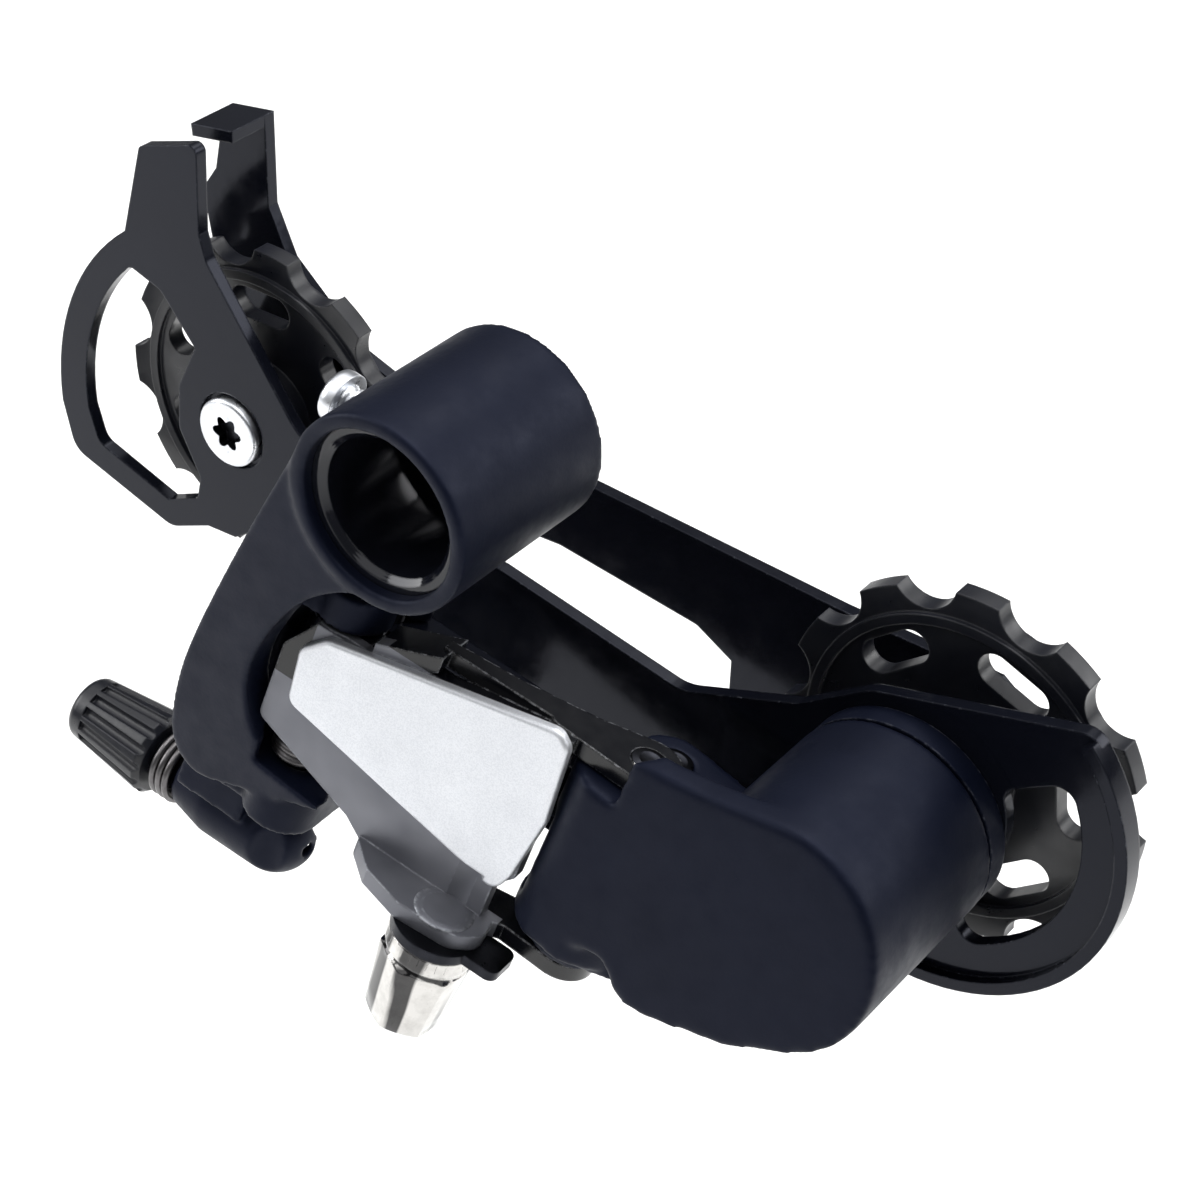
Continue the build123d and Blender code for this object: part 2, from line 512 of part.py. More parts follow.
# ---- pulley knuckle ----
def make_knuckle():
    front_tilt = math.radians(PIN_SLANT)
    normal = Vector(0, -math.cos(front_tilt), math.sin(front_tilt))
    front = Plane(origin=(PIVOT_X, KNUCKLE_FRONT_Y, PIVOT_Z), x_dir=(1, 0, 0), z_dir=normal)
    drum = cross_cylinder(PIVOT, KNUCKLE_RADIUS, KNUCKLE_FRONT_Y - 6, KNUCKLE_BACK_Y)
    beyond_front = front.location * Box(200, 200, 40, align=(Align.CENTER, Align.CENTER, Align.MIN))
    drum -= beyond_front

    # front wall, drawn from the pivot and tangent to the drum
    top_corner = (-9.7, 12.0)
    foot_corner = (-3.3, -14.2)
    side = [(-22.6, 12.8), (-26.0, -11.2), (-18.7, -11.0), (-16.4, -14.7), (-13.0, -15.1)]
    top_touch = touch_point(top_corner, KNUCKLE_RADIUS, -1)
    foot_touch = touch_point(foot_corner, KNUCKLE_RADIUS, 1)
    wall_shape = polygon(top_touch, top_corner, *side, foot_corner, foot_touch, (0, 0))
    wall_shape = rounded(wall_shape, 2.0, *[(*corner, 0) for corner in (top_corner, foot_corner, side[0], *side[2:])])
    wall_shape += Circle(KNUCKLE_RADIUS)
    wall = side_plate(Pos(*PIVOT) * wall_shape, KNUCKLE_FRONT_Y - 8, KNUCKLE_FRONT_Y + 12)
    wall -= Pos(0, KNUCKLE_WALL, 0) * front.location * Box(200, 200, 60, align=(Align.CENTER, Align.CENTER, Align.MAX))
    shell = wall - beyond_front + drum

    # hinge barrel round the outer link's pin, flattened on the inner side
    low = KNUCKLE_FLANGE_LOW + FLANGE_THICKNESS + FACE_GAP
    high = KNUCKLE_FLANGE_HIGH - FACE_GAP
    hinge = upright_cylinder(OUTER_K, HINGE_RADIUS, low + 2.4, high)
    hinge += upright_cylinder(OUTER_K, LUG_RADIUS, low, high)
    reach = Pos(LINK_LENGTH + 3.5, -HINGE_RADIUS + 2.5) * Rectangle(7, 4.6)
    hinge += upright(reach, low + 7.5, high)
    hinge -= upright(Pos(LINK_LENGTH - 2, HINGE_DEPTH + 5) * Rectangle(18, 10), low - 1, high + 1)

    # fork arms for the inner link, and the web that ties them to the drum
    inner_low, inner_high = INNER_LINK
    low_span = (inner_low - FACE_GAP - INNER_LUG_THICKNESS, inner_low - FACE_GAP)
    high_span = (inner_high + FACE_GAP, inner_high + FACE_GAP + INNER_LUG_THICKNESS)
    low_shape = capsule(INNER_K, LUG_RADIUS, (LINK_LENGTH + 9, LINK_SPACING - 7), 5.5)
    low_shape += capsule((LINK_LENGTH + 2.0, -1.0), 4.0, (LINK_LENGTH + 9, LINK_SPACING - 7), 5.5)
    high_shape = capsule(INNER_K, LUG_RADIUS, (LINK_LENGTH + 15, LINK_SPACING - 5), 6.5)
    arms = upright(low_shape, *low_span) + upright(high_shape, *high_span)
    back = upright(Pos(LINK_LENGTH + 11.5, 0.5) * Rectangle(8, 15), low_span[1] - 0.8, high_span[1])
    stop_lug = side_plate(stop_lug_outline(), KNUCKLE_BACK_Y - STOP_DEPTH, KNUCKLE_BACK_Y)
    body = shell + hinge + arms + back + stop_lug
    body -= beyond_front
    behind_seam = Box(200, 60, 200, align=(Align.CENTER, Align.MIN, Align.CENTER))
    body -= Pos(0, KNUCKLE_BACK_Y, 0) * behind_seam

    # room for both links' swing, as seen from the knuckle
    eye = 3.2 + SWING_GAP
    inner_arm = capsule(INNER_K, eye, (LINK_LENGTH - 20, LINK_SPACING), eye)
    body = clear_swing(body, inner_arm, INNER_K, inner_low - FACE_GAP, inner_high + FACE_GAP, 3)
    body = clear_swing(body, offset(flange_outline(), 0.6), OUTER_K, high, high + 12, 5)

    # spring chamber, axle bore and pin holes
    body -= cross_cylinder(PIVOT, KNUCKLE_RADIUS - CHAMBER_WALL, KNUCKLE_BACK_Y - SPRING_CHAMBER, KNUCKLE_BACK_Y + 1)
    core_start = KNUCKLE_BACK_Y - SPRING_CHAMBER - 0.5
    core = cross_cylinder(PIVOT, AXLE_RADIUS + CORE_WALL, core_start, KNUCKLE_BACK_Y - 1.2)
    body += core
    body -= cross_cylinder(PIVOT, AXLE_RADIUS + AXLE_FIT, KNUCKLE_BACK_Y - SPRING_CHAMBER - 2, KNUCKLE_BACK_Y + 1)
    for centre in (OUTER_K, INNER_K):
        body -= upright_cylinder(centre, PIN_RADIUS + PIN_FIT, 0, 40)
    body -= upright_cylinder(INNER_K, PIN_HEAD_RADIUS + 0.3, -10, low_span[0])
    return body


def make_axle():
    start = KNUCKLE_BACK_Y - SPRING_CHAMBER - 1.5
    shank = cross_cylinder(PIVOT, AXLE_RADIUS, start, CAGE_OUTER_Y - AXLE_FLANGE_THICKNESS)
    flange = cross_cylinder(PIVOT, AXLE_FLANGE_RADIUS, CAGE_OUTER_Y - AXLE_FLANGE_THICKNESS, CAGE_OUTER_Y)
    return shank + flange


def make_cage_spring():
    length = SPRING_CHAMBER - FACE_GAP
    mean_radius = (AXLE_RADIUS + CORE_WALL + KNUCKLE_RADIUS - CHAMBER_WALL) / 2
    spring = coil(mean_radius, SPRING_WIRE, SPRING_TURNS, length)
    return Pos(PIVOT_X, KNUCKLE_BACK_Y, PIVOT_Z) * Rot(90, 0, 0) * spring


def make_collar():
    """The ring that closes the spring chamber and turns with the cage."""
    start = KNUCKLE_BACK_Y + FACE_GAP
    ring = cross_cylinder(PIVOT, KNUCKLE_RADIUS - 0.1, start, CAGE_OUTER_Y)
    ring -= cross_cylinder(PIVOT, AXLE_FLANGE_RADIUS + SCREW_FIT, start - 1, CAGE_OUTER_Y + 1)
    return ring


# ---- cage ----
def on_guide_rim(angle, radius=RIM_RADIUS):
    a = math.radians(angle)
    return (GUIDE_X + radius * math.cos(a), GUIDE_Z + radius * math.sin(a))


def outer_plate_outline():
    top = Polyline((-59.6, 11.8), (-50.6, 14.3), (-51.4, 3.0), (-50.6, -0.2), (-38.6, -18.2), (-31.0, -23.2),
                   (-8.9, -25.8), (15.8, -31.9), (30.6, -27.3), (39.2, -21.9), on_guide_rim(41))
    rim = ThreePointArc(on_guide_rim(41), on_guide_rim(-30), on_guide_rim(-112))
    bottom = Polyline(on_guide_rim(-112), (14.0, -45.5), (-24.0, -37.6), (-44.6, -33.6), (-49.6, -36.8),
                      (-54.0, -36.8), (-60.3, -39.2), (-76.0, -33.6), (-77.3, -27.0))
    guard = ThreePointArc((-77.3, -27.0), (-73.4, -11.4), (-63.3, 0.1))
    tab = Line((-63.3, 0.1), (-59.6, 11.8))
    outline = make_face([*top.edges(), *rim.edges(), *bottom.edges(), *guard.edges(), *tab.edges()])
    outline = rounded(outline, 5.0, (-38.6, -18.2, 0), (-31.0, -23.2, 0), (15.8, -31.9, 0), (39.2, -21.9, 0))
    outline = rounded(outline, 3.0, (-76.0, -33.6, 0), (-60.3, -39.2, 0), (-44.6, -33.6, 0), (-50.6, -0.2, 0))
    outline = rounded(outline, 1.0, (-59.6, 11.8, 0), (-50.6, 14.3, 0))
    corner = on_guide_rim(41)
    return rounded(outline, 2.5, (corner[0], corner[1], 0))


def guard_opening():
    """The opening inside the guard loop round the tension pulley."""
    inner = ThreePointArc((-72.8, -26.6), (-70.0, -13.4), (-63.0, -4.4))
    rest = Polyline((-63.0, -4.4), (-58.4, -6.1), (-53.6, -12.2), (-56.8, -18.2), (-57.4, -24.2), (-54.6, -30.2),
                    (-55.4, -33.4), (-60.4, -35.4), (-71.6, -31.2), (-72.8, -26.6))
    opening = make_face([*inner.edges(), *rest.edges()])
    opening = rounded(opening, 2.0, (-58.4, -6.1, 0), (-57.4, -24.2, 0), (-56.8, -18.2, 0), (-71.6, -31.2, 0))
    return rounded(opening, 1.0, (-54.6, -30.2, 0), (-55.4, -33.4, 0), (-63.0, -4.4, 0))


def guide_window():
    """The crescent window in the outer plate beside the knuckle."""
    ring = Pos(*GUIDE) * (Circle(18.0) - Circle(9.5))
    sector = polygon(GUIDE, on_guide_rim(28, 60), on_guide_rim(-25, 60), on_guide_rim(-72, 60))
    window = ring & sector
    return fillet(window.vertices(), 2.0)


def make_outer_plate():
    shape = outer_plate_outline() - guard_opening() - guide_window()
    plate = side_plate(shape, CAGE_OUTER_Y, GAP_START_Y)
    sector = polygon(GUIDE, on_guide_rim(39, 60), on_guide_rim(-30, 60), on_guide_rim(-108, 60))
    rim_ring = Pos(*GUIDE) * (Circle(RIM_RADIUS) - Circle(RIM_RADIUS - 1.5)) & sector
    plate += side_plate(rim_ring, CAGE_OUTER_Y - RIM_FLANGE, CAGE_OUTER_Y + 0.1)
    plate -= cross_cylinder(TENSION, PULLEY_BOLT_RADIUS + SCREW_FIT, CAGE_OUTER_Y - 1, GAP_START_Y + 1)
    plate -= cross_cylinder(TENSION, BOLT_HEAD_RADIUS + 0.5, CAGE_OUTER_Y - 1, CAGE_OUTER_Y + CAGE_PLATE / 2)
    plate -= cross_cylinder(GUIDE, PULLEY_BOLT_RADIUS + SCREW_FIT, CAGE_OUTER_Y - 1, GAP_START_Y + 1)
    return plate


def make_inner_plate():
    start = CAGE_INNER_Y
    outline = polygon((-58.4, 12.2), (-52.0, 12.9), (-52.4, 1.2), (-49.8, -5.0), (-40.0, -14.0), (-30.0, -17.8),
                      (-4.9, -20.2), (27.6, -23.6), (47.0, -24.9), (53.4, -30.0), (53.0, -35.0), (46.4, -39.3),
                      (20.0, -42.0), (13.6, -41.2), (13.8, -36.0), (9.0, -33.0), (-10.2, -29.6), (-38.0, -29.6),
                      (-46.0, -31.0), (-54.0, -29.0), (-58.0, -21.0), (-61.6, -8.0), (-62.8, 0.8), (-60.4, 4.0))
    outline = rounded(outline, 4.0, (-40.0, -14.0, 0), (-30.0, -17.8, 0), (53.4, -30.0, 0), (-54.0, -29.0, 0))
    outline = rounded(outline, 1.6, (13.6, -41.2, 0), (9.0, -33.0, 0),
                      (46.4, -39.3, 0), (-62.8, 0.8, 0), (-38.0, -29.6, 0), (53.0, -35.0, 0))
    plate = side_plate(outline, start, start + CAGE_PLATE)
    lip_low = polygon((-58.3, 10.7), (-52.1, 11.4), (-52.0, 12.9), (-58.4, 12.2))
    plate += side_plate(lip_low, start - 5.5, start + CAGE_PLATE)
    for centre in (GUIDE, TENSION):
        plate -= cross_cylinder(centre, PULLEY_BOLT_RADIUS + SCREW_FIT, start - 1, start + CAGE_PLATE + 1)
    return plate


def make_stop_pin():
    """The pin on the outer plate that stops the cage against the knuckle."""
    angle = math.radians(STOP_ANGLE)
    centre = (PIVOT_X + STOP_RADIUS * math.cos(angle), PIVOT_Z + STOP_RADIUS * math.sin(angle))
    return cross_cylinder(centre, STOP_PIN_RADIUS, KNUCKLE_BACK_Y - STOP_DEPTH, CAGE_OUTER_Y)


def stop_lug_outline():
    """The lug on the knuckle that the stop pin rests against."""
    pin_side = -(STOP_PIN_RADIUS + FACE_GAP)
    inner = KNUCKLE_RADIUS - 2
    outer = STOP_RADIUS + STOP_PIN_RADIUS
    lug = polygon((inner, pin_side), (outer, pin_side), (outer, pin_side - 2.4), (inner, pin_side - 3.6))
    return Pos(*PIVOT) * Rot(0, 0, STOP_ANGLE) * lug


def pulley_outline(phase):
    blank = Circle(TIP_RADIUS)
    for tooth in range(TEETH):
        angle = phase + (tooth + 0.5) * 360 / TEETH
        blank -= Rot(0, 0, angle) * (Pos(SEAT_PITCH_RADIUS, 0) * Circle(SEAT_RADIUS))
    return blank


def make_pulley(centre, phase):
    slot_count = 6
    slot_radius = 13.9
    hub_half = CAGE_GAP / 2 - DUST_CAP_THICKNESS - FACE_GAP
    teeth = Pos(*centre) * pulley_outline(phase)
    wheel = side_plate(teeth, PULLEY_Y - TOOTH_WIDTH / 2, PULLEY_Y + TOOTH_WIDTH / 2)
    wheel += cross_cylinder(centre, PULLEY_HUB_RADIUS, PULLEY_Y - hub_half, PULLEY_Y + hub_half)
    shoulder = Pos(*centre) * (Circle(18.2) - Circle(17.0))
    wheel += side_plate(shoulder, PULLEY_Y - TOOTH_WIDTH / 2 - 0.6, PULLEY_Y + TOOTH_WIDTH / 2 + 0.6)
    for turn in range(slot_count):
        placed = Pos(slot_radius, 0) * Rot(0, 0, 90) * SlotOverall(8.8, 4.0)
        slot = Rot(0, 0, phase - 22 + turn * 360 / slot_count) * placed
        wheel -= side_plate(Pos(*centre) * slot, PULLEY_Y - 5, PULLEY_Y + 5)
    wheel -= cross_cylinder(centre, PULLEY_BOLT_RADIUS + BUSH_WALL + BUSH_FIT, PULLEY_Y - 8, PULLEY_Y + 8)
    return wheel


def make_bush(centre):
    outer = cross_cylinder(centre, PULLEY_BOLT_RADIUS + BUSH_WALL, GAP_START_Y, CAGE_INNER_Y)
    return outer - cross_cylinder(centre, PULLEY_BOLT_RADIUS + BUSH_FIT, GAP_START_Y - 1, CAGE_INNER_Y + 1)


def make_dust_caps(centre):
    bore = PULLEY_BOLT_RADIUS + BUSH_WALL + BUSH_FIT
    ring = Pos(*centre) * (Circle(DUST_CAP_RADIUS) - Circle(bore))
    near = side_plate(ring, GAP_START_Y, GAP_START_Y + DUST_CAP_THICKNESS)
    far = side_plate(ring, CAGE_INNER_Y - DUST_CAP_THICKNESS, CAGE_INNER_Y)
    return Compound(children=[near, far])


def make_pulley_bolt(centre, head_outside):
    """A bolt through cage, bush and pulley, with a six-point socket in its head."""
    inner_face = CAGE_INNER_Y + CAGE_PLATE
    if head_outside:
        seat = CAGE_OUTER_Y + CAGE_PLATE / 2
        shank = cross_cylinder(centre, PULLEY_BOLT_RADIUS, seat, inner_face + 0.6)
        head = cross_cylinder(centre, BOLT_HEAD_RADIUS, seat - BOLT_HEAD_HEIGHT, seat)
        head = chamfer(head.edges().group_by(Axis.Y)[0], 0.5)
        socket = side_plate(Pos(*centre) * RegularPolygon(2.1, 6), seat - BOLT_HEAD_HEIGHT - 1, seat - 0.3)
    else:
        shank = cross_cylinder(centre, PULLEY_BOLT_RADIUS, CAGE_OUTER_Y + 0.1, inner_face)
        head = cross_cylinder(centre, BOLT_HEAD_RADIUS, inner_face, inner_face + BOLT_HEAD_HEIGHT)
        head = chamfer(head.edges().group_by(Axis.Y)[-1], 0.5)
        socket = side_plate(Pos(*centre) * RegularPolygon(2.1, 6), inner_face + 0.3, inner_face + BOLT_HEAD_HEIGHT + 1)
    return shank + head - socket


def main():
    knuckle_pin_low = KNUCKLE_FLANGE_LOW
    inner_high_lug = INNER_LINK[1] + FACE_GAP + INNER_LUG_THICKNESS
    inner_low_lug = INNER_LINK[0] - FACE_GAP - INNER_LUG_THICKNESS
    guide_phase = 87.6
    tension_phase = 50.4
    nodes = {
        "bracket_body": make_bracket(),
        "hanger_bushing": make_bushing(),
        "b_tension_screw": make_b_screw(),
        "high_limit_screw": make_limit_screw(HIGH_SCREW_ACROSS, HIGH_TIP_ALONG),
        "low_limit_screw": make_limit_screw(LOW_SCREW_ACROSS, LOW_TIP_ALONG),
        "adjuster_barrel": make_adjuster(),
        "adjuster_stem": make_adjuster_stem(),
        "adjuster_spring": make_adjuster_spring(),
        "bracket_outer_pin": make_pin(OUTER_B, BRACKET_LOWER_LUG[0], BRACKET_UPPER_LUG[1] + 0.6),
        "bracket_inner_pin": make_pin(INNER_B, BRACKET_LOWER_LUG[0], inner_high_lug + 0.6),
        "knuckle_outer_pin": make_pin(OUTER_K, knuckle_pin_low, KNUCKLE_FLANGE_HIGH + FLANGE_THICKNESS + 0.6),
        "knuckle_inner_pin": make_pin(INNER_K, inner_low_lug, inner_high_lug + 0.6),
        "outer_link": make_outer_link(),
        "inner_link": make_inner_link(),
        "link_spring": make_link_spring(),
        "cable_clamp_bolt": make_clamp_bolt(),
        "cable_clamp_washer": make_clamp_washer(),
        "pulley_knuckle": make_knuckle(),
        "cage_axle": make_axle(),
        "cage_spring": make_cage_spring(),
        "spring_cover_ring": make_collar(),
        "cage_outer_plate": make_outer_plate(),
        "cage_inner_plate": make_inner_plate(),
        "cage_stop_pin": make_stop_pin(),
        "guide_pulley": make_pulley(GUIDE, guide_phase),
        "tension_pulley": make_pulley(TENSION, tension_phase),
        "guide_bush": make_bush(GUIDE),
        "tension_bush": make_bush(TENSION),
        "guide_dust_caps": make_dust_caps(GUIDE),
        "tension_dust_caps": make_dust_caps(TENSION),
        "guide_pulley_bolt": make_pulley_bolt(GUIDE, False),
        "tension_pulley_bolt": make_pulley_bolt(TENSION, True),
    }
    os.makedirs("parts", exist_ok=True)
    for name, shape in nodes.items():
        export_step(shape, "parts/" + name + ".step")
        print(name, len(shape.solids()), round(shape.volume, 1))


if __name__ == "__main__":
    main()
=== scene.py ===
import json
import math
import bmesh
import bpy
from bpy.props import FloatProperty, FloatVectorProperty, IntProperty, PointerProperty
from mathutils import Matrix, Vector


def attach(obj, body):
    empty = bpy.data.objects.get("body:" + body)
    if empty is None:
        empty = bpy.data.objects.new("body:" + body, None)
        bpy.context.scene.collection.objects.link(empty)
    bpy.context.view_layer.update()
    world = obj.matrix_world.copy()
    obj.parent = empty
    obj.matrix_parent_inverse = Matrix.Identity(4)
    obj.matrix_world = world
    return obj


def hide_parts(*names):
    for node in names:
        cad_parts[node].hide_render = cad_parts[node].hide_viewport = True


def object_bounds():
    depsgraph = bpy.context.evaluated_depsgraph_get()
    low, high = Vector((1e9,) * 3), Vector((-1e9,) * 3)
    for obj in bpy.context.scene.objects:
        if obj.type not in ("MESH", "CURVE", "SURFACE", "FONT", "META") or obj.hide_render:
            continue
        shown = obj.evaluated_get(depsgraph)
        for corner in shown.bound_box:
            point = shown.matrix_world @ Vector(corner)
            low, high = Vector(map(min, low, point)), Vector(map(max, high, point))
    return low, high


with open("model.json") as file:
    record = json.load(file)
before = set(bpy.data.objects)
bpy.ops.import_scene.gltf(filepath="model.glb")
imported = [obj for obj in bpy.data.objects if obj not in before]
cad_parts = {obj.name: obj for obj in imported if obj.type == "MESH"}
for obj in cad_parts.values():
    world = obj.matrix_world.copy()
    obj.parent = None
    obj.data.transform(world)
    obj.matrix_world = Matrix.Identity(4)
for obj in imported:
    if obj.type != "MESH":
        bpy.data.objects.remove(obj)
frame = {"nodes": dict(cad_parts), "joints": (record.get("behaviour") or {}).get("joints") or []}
CAD_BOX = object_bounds()

bl_info = {
    "name": "Rear Derailleur Finishes",
    "version": (1, 0, 0),
    "blender": (4, 5, 0),
    "location": "View3D > Sidebar > Derailleur",
    "description": "Finishes, fine pieces and a studio for a bicycle rear derailleur",
    "category": "Object",
}

MM = 0.001
SHARP_ANGLE = math.radians(38)
# borders of the outer link's paints, in millimetres from its joint: inward, along the link
# and up the pins
FACE_INWARD, FACE_HEIGHT = -4.5, -7.6
STRIP_INWARD, STRIP_LENGTHWISE, STRIP_HEIGHT = -2.7, 29.4, 11.2
REAR_LENGTHWISE, REAR_HEIGHT = -1.4, 0.4
# softening rounds of every casting edge, and of the knuckle's front edge
DIE_ROUNDS = 8
FRONT_ROUNDS = 26
# the knuckle's front plane: how far out it is, its slant and how deep its edge is rounded
KNUCKLE_FRONT = -18 * MM
KNUCKLE_SLANT = math.radians(10.5)
FRONT_ROUND_DEPTH = 3.4 * MM
# the cable clamp's place on the outer link
CLAMP_LENGTHWISE = 24.2 * MM
CLAMP_OUTWARD = 6.6 * MM
# the clearance between the lowest reach of the cage and the floor, and half the floor's width
FLOOR_CLEARANCE = 6 * MM
FLOOR_HALF_WIDTH = 3.0
NODES = frame["nodes"]
JOINTS = {joint["name"]: joint for joint in frame["joints"]}


# ---- axes of the part, from its joints ----
def joint_axis(name):
    """The point and the direction of a joint."""
    joint = JOINTS[name]
    return Vector(joint["pos_m"]), Vector(joint["axis"]).normalized()


# the bracket's outer pin: the point of its joint, which is half way up it, and its direction
OUTER_PIN, PIN_AXIS = joint_axis("link_swing")
across_pins = joint_axis("knuckle_level")[0] - OUTER_PIN
LINK_LENGTHWISE = (across_pins - PIN_AXIS * across_pins.dot(PIN_AXIS)).normalized()
LINK_INWARD = PIN_AXIS.cross(LINK_LENGTHWISE)


def reach_of(node, point, axis):
    """How far a node goes along an axis from a point, and how far out from it."""
    lengths = []
    radii = []
    for vertex in NODES[node].data.vertices:
        offset = vertex.co - point
        length = offset.dot(axis)
        lengths.append(length)
        radii.append((offset - axis * length).length)
    return min(lengths), max(lengths), max(radii)


def on_axis(point, axis):
    """Turns +Z to an axis and moves the origin to a point on it."""
    return Matrix.Translation(point) @ axis.to_track_quat("Z", "Y").to_matrix().to_4x4()


# ---- colours and nodes ----
def linear(text):
    """An sRGB hex colour as linear red, green and blue."""
    channels = [int(text[i:i + 2], 16) / 255 for i in (1, 3, 5)]
    return tuple(c / 12.92 if c <= 0.04045 else ((c + 0.055) / 1.055) ** 2.4 for c in channels)


def solid(colour):
    return (*colour[:3], 1.0)


def add(tree, kind, inputs=None, **settings):
    """Add a node with its settings, and link or set its inputs."""
    node = tree.nodes.new(kind)
    for key, value in settings.items():
        setattr(node, key, value)
    for key, value in (inputs or {}).items():
        if isinstance(value, bpy.types.NodeSocket):
            tree.links.new(value, node.inputs[key])
        else:
            node.inputs[key].default_value = value
    return node


def per_mm(size):
    """The texture scale that makes its pattern this many millimetres wide."""
    return 1 / (size * MM)


def start_material(name):
    made = bpy.data.materials.new(name)
    made.use_nodes = True
    made.node_tree.nodes.clear()
    return made, made.node_tree


def end_material(tree, inputs):
    shader = add(tree, "ShaderNodeBsdfPrincipled", inputs)
    add(tree, "ShaderNodeOutputMaterial", {"Surface": shader.outputs[0]})


def object_place(tree):
    return add(tree, "ShaderNodeTexCoord").outputs["Object"]


def grain(tree, place, size, detail=2.0, roughness=0.5):
    """Noise whose blotches are size millimetres across."""
    inputs = {"Vector": place, "Scale": per_mm(size), "Detail": detail, "Roughness": roughness}
    return add(tree, "ShaderNodeTexNoise", inputs).outputs[0]


def ranged(tree, value, from_low, from_high, to_low, to_high):
    inputs = {"Value": value, "From Min": from_low, "From Max": from_high,
              "To Min": to_low, "To Max": to_high}
    return add(tree, "ShaderNodeMapRange", inputs).outputs["Result"]


def mixed(tree, share, first, second):
    inputs = {0: share, 6: first, 7: second}
    return add(tree, "ShaderNodeMix", inputs, data_type="RGBA", clamp_factor=True).outputs[2]


def sums(tree, operation, first, second):
    return add(tree, "ShaderNodeMath", {0: first, 1: second}, operation=operation).outputs[0]


def rounded_normal(tree, radius):
    """The surface direction with every edge rounded by a radius."""
    return add(tree, "ShaderNodeBevel", {"Radius": radius}, samples=4).outputs[0]


def edge_share(tree, softened):
    """One on an edge, nought on a flat or a broad curve."""
    true_normal = add(tree, "ShaderNodeNewGeometry").outputs["Normal"]
    facing = add(tree, "ShaderNodeVectorMath", {0: softened, 1: true_normal}, operation="DOT_PRODUCT")
    return ranged(tree, facing.outputs["Value"], 0.985, 0.86, 0.0, 1.0)


def bumped(tree, height, distance, strength, normal):
    inputs = {"Height": height, "Distance": distance, "Strength": strength, "Normal": normal}
    return add(tree, "ShaderNodeBump", inputs).outputs[0]


def worn_and_highlit_edges(tree, place, softened, size, low, high):
    """Small breaks in the finish along the edges, lighter in colour: partly worn paint, partly painted
    highlights on the edges.
    """
    breaks = ranged(tree, grain(tree, place, size, 4.0, 0.7), low, high, 0.0, 1.0)
    return sums(tree, "MULTIPLY", edge_share(tree, softened), breaks)


# ---- materials ----
def make_cast_paint(finishes):
    """Stoved black paint on die-cast aluminium: satin, blue in the light, with the casting's skin just
    showing through, a few pale chips and edges a little lighter: partly rubbed wear, partly painted
    highlight."""
    made, tree = start_material("Stoved satin paint on die-cast aluminium")
    place = object_place(tree)
    softened = rounded_normal(tree, 0.35 * MM)
    drift = grain(tree, place, 9.0, 3.0)
    chips = ranged(tree, grain(tree, place, 1.6, 5.0, 0.75), 0.735, 0.77, 0.0, 0.8)
    rubbed = worn_and_highlit_edges(tree, place, softened, 0.9, 0.5, 0.66)
    deep = solid(finishes.paint_colour)
    dusty = solid(finishes.paint_dust_colour)
    metal = solid(linear("#9a9da6"))
    colour = mixed(tree, drift, deep, dusty)
    # lighter edges: partly rubbed wear, partly painted highlight
    wear = sums(tree, "MAXIMUM", sums(tree, "MULTIPLY", rubbed, 0.35), chips)
    colour = mixed(tree, wear, colour, metal)
    # the skin of a pressure casting under paint is about 0.4 mm from lump to lump
    skin = grain(tree, place, 0.42, 2.0)
    ripple = grain(tree, place, 5.0, 2.0)
    height = sums(tree, "ADD", skin, sums(tree, "MULTIPLY", ripple, 2.0))
    rough = ranged(tree, grain(tree, place, 3.2, 4.0, 0.6), 0.3, 0.7, 0.40, 0.56)
    end_material(tree, {
        "Base Color": colour, "Roughness": rough, "IOR": 1.5, "Specular IOR Level": 0.17,
        "Specular Tint": solid(linear("#c2cbf0")),
        "Normal": bumped(tree, height, 0.02 * MM, 0.55, softened)})
    return made


def make_gloss_enamel(finishes):
    """Gloss black enamel on pressed steel: deep black, sharp reflections, orange peel only in the
    reflections, dust-fine scratches and lighter edges: partly rubbed wear, partly painted highlight."""
    made, tree = start_material("Gloss black enamel on pressed steel")
    place = object_place(tree)
    softened = rounded_normal(tree, 0.3 * MM)
    rubbed = worn_and_highlit_edges(tree, place, softened, 0.7, 0.55, 0.7)
    deep = solid(finishes.enamel_colour)
    colour = mixed(tree, grain(tree, place, 14.0, 2.0), deep, solid(linear("#0f1119")))
    # lighter edges: partly rubbed wear, partly painted highlight
    colour = mixed(tree, sums(tree, "MULTIPLY", rubbed, 0.5), colour, solid(linear("#8b8e96")))
    # orange peel of sprayed enamel, about 1.4 mm from crest to crest
    peel = grain(tree, place, 1.4, 1.0)
    haze = ranged(tree, grain(tree, place, 4.0, 5.0, 0.7), 0.35, 0.7, 0.10, 0.22)
    end_material(tree, {
        "Base Color": colour, "Roughness": haze, "IOR": 1.5, "Specular IOR Level": 0.2,
        "Specular Tint": solid(linear("#d2d8f0")),
        "Normal": bumped(tree, peel, 0.02 * MM, 0.35, softened)})
    return made


def make_sleeve(finishes):
    """Blackened and burnished steel sleeve: almost a mirror, with fine turning rings round its bore."""
    made, tree = start_material("Blackened burnished steel")
    place = object_place(tree)
    softened = rounded_normal(tree, 0.3 * MM)
    split = add(tree, "ShaderNodeSeparateXYZ", {0: place})
    # turning rings, 0.25 mm apart along the bore
    rings = sums(tree, "MULTIPLY", split.outputs[1], math.tau * per_mm(0.25))
    wave = add(tree, "ShaderNodeMath", {0: rings}, operation="SINE").outputs[0]
    blotch = grain(tree, place, 3.0, 3.0)
    colour = mixed(tree, blotch, solid(linear("#0c0d12")), solid(linear("#1b1d26")))
    rough = ranged(tree, blotch, 0.3, 0.7, 0.06, 0.12)
    end_material(tree, {
        "Base Color": colour, "Roughness": rough, "Metallic": 0.25, "IOR": 1.5,
        "Normal": bumped(tree, wave, 0.004 * MM, 0.25, softened)})
    return made


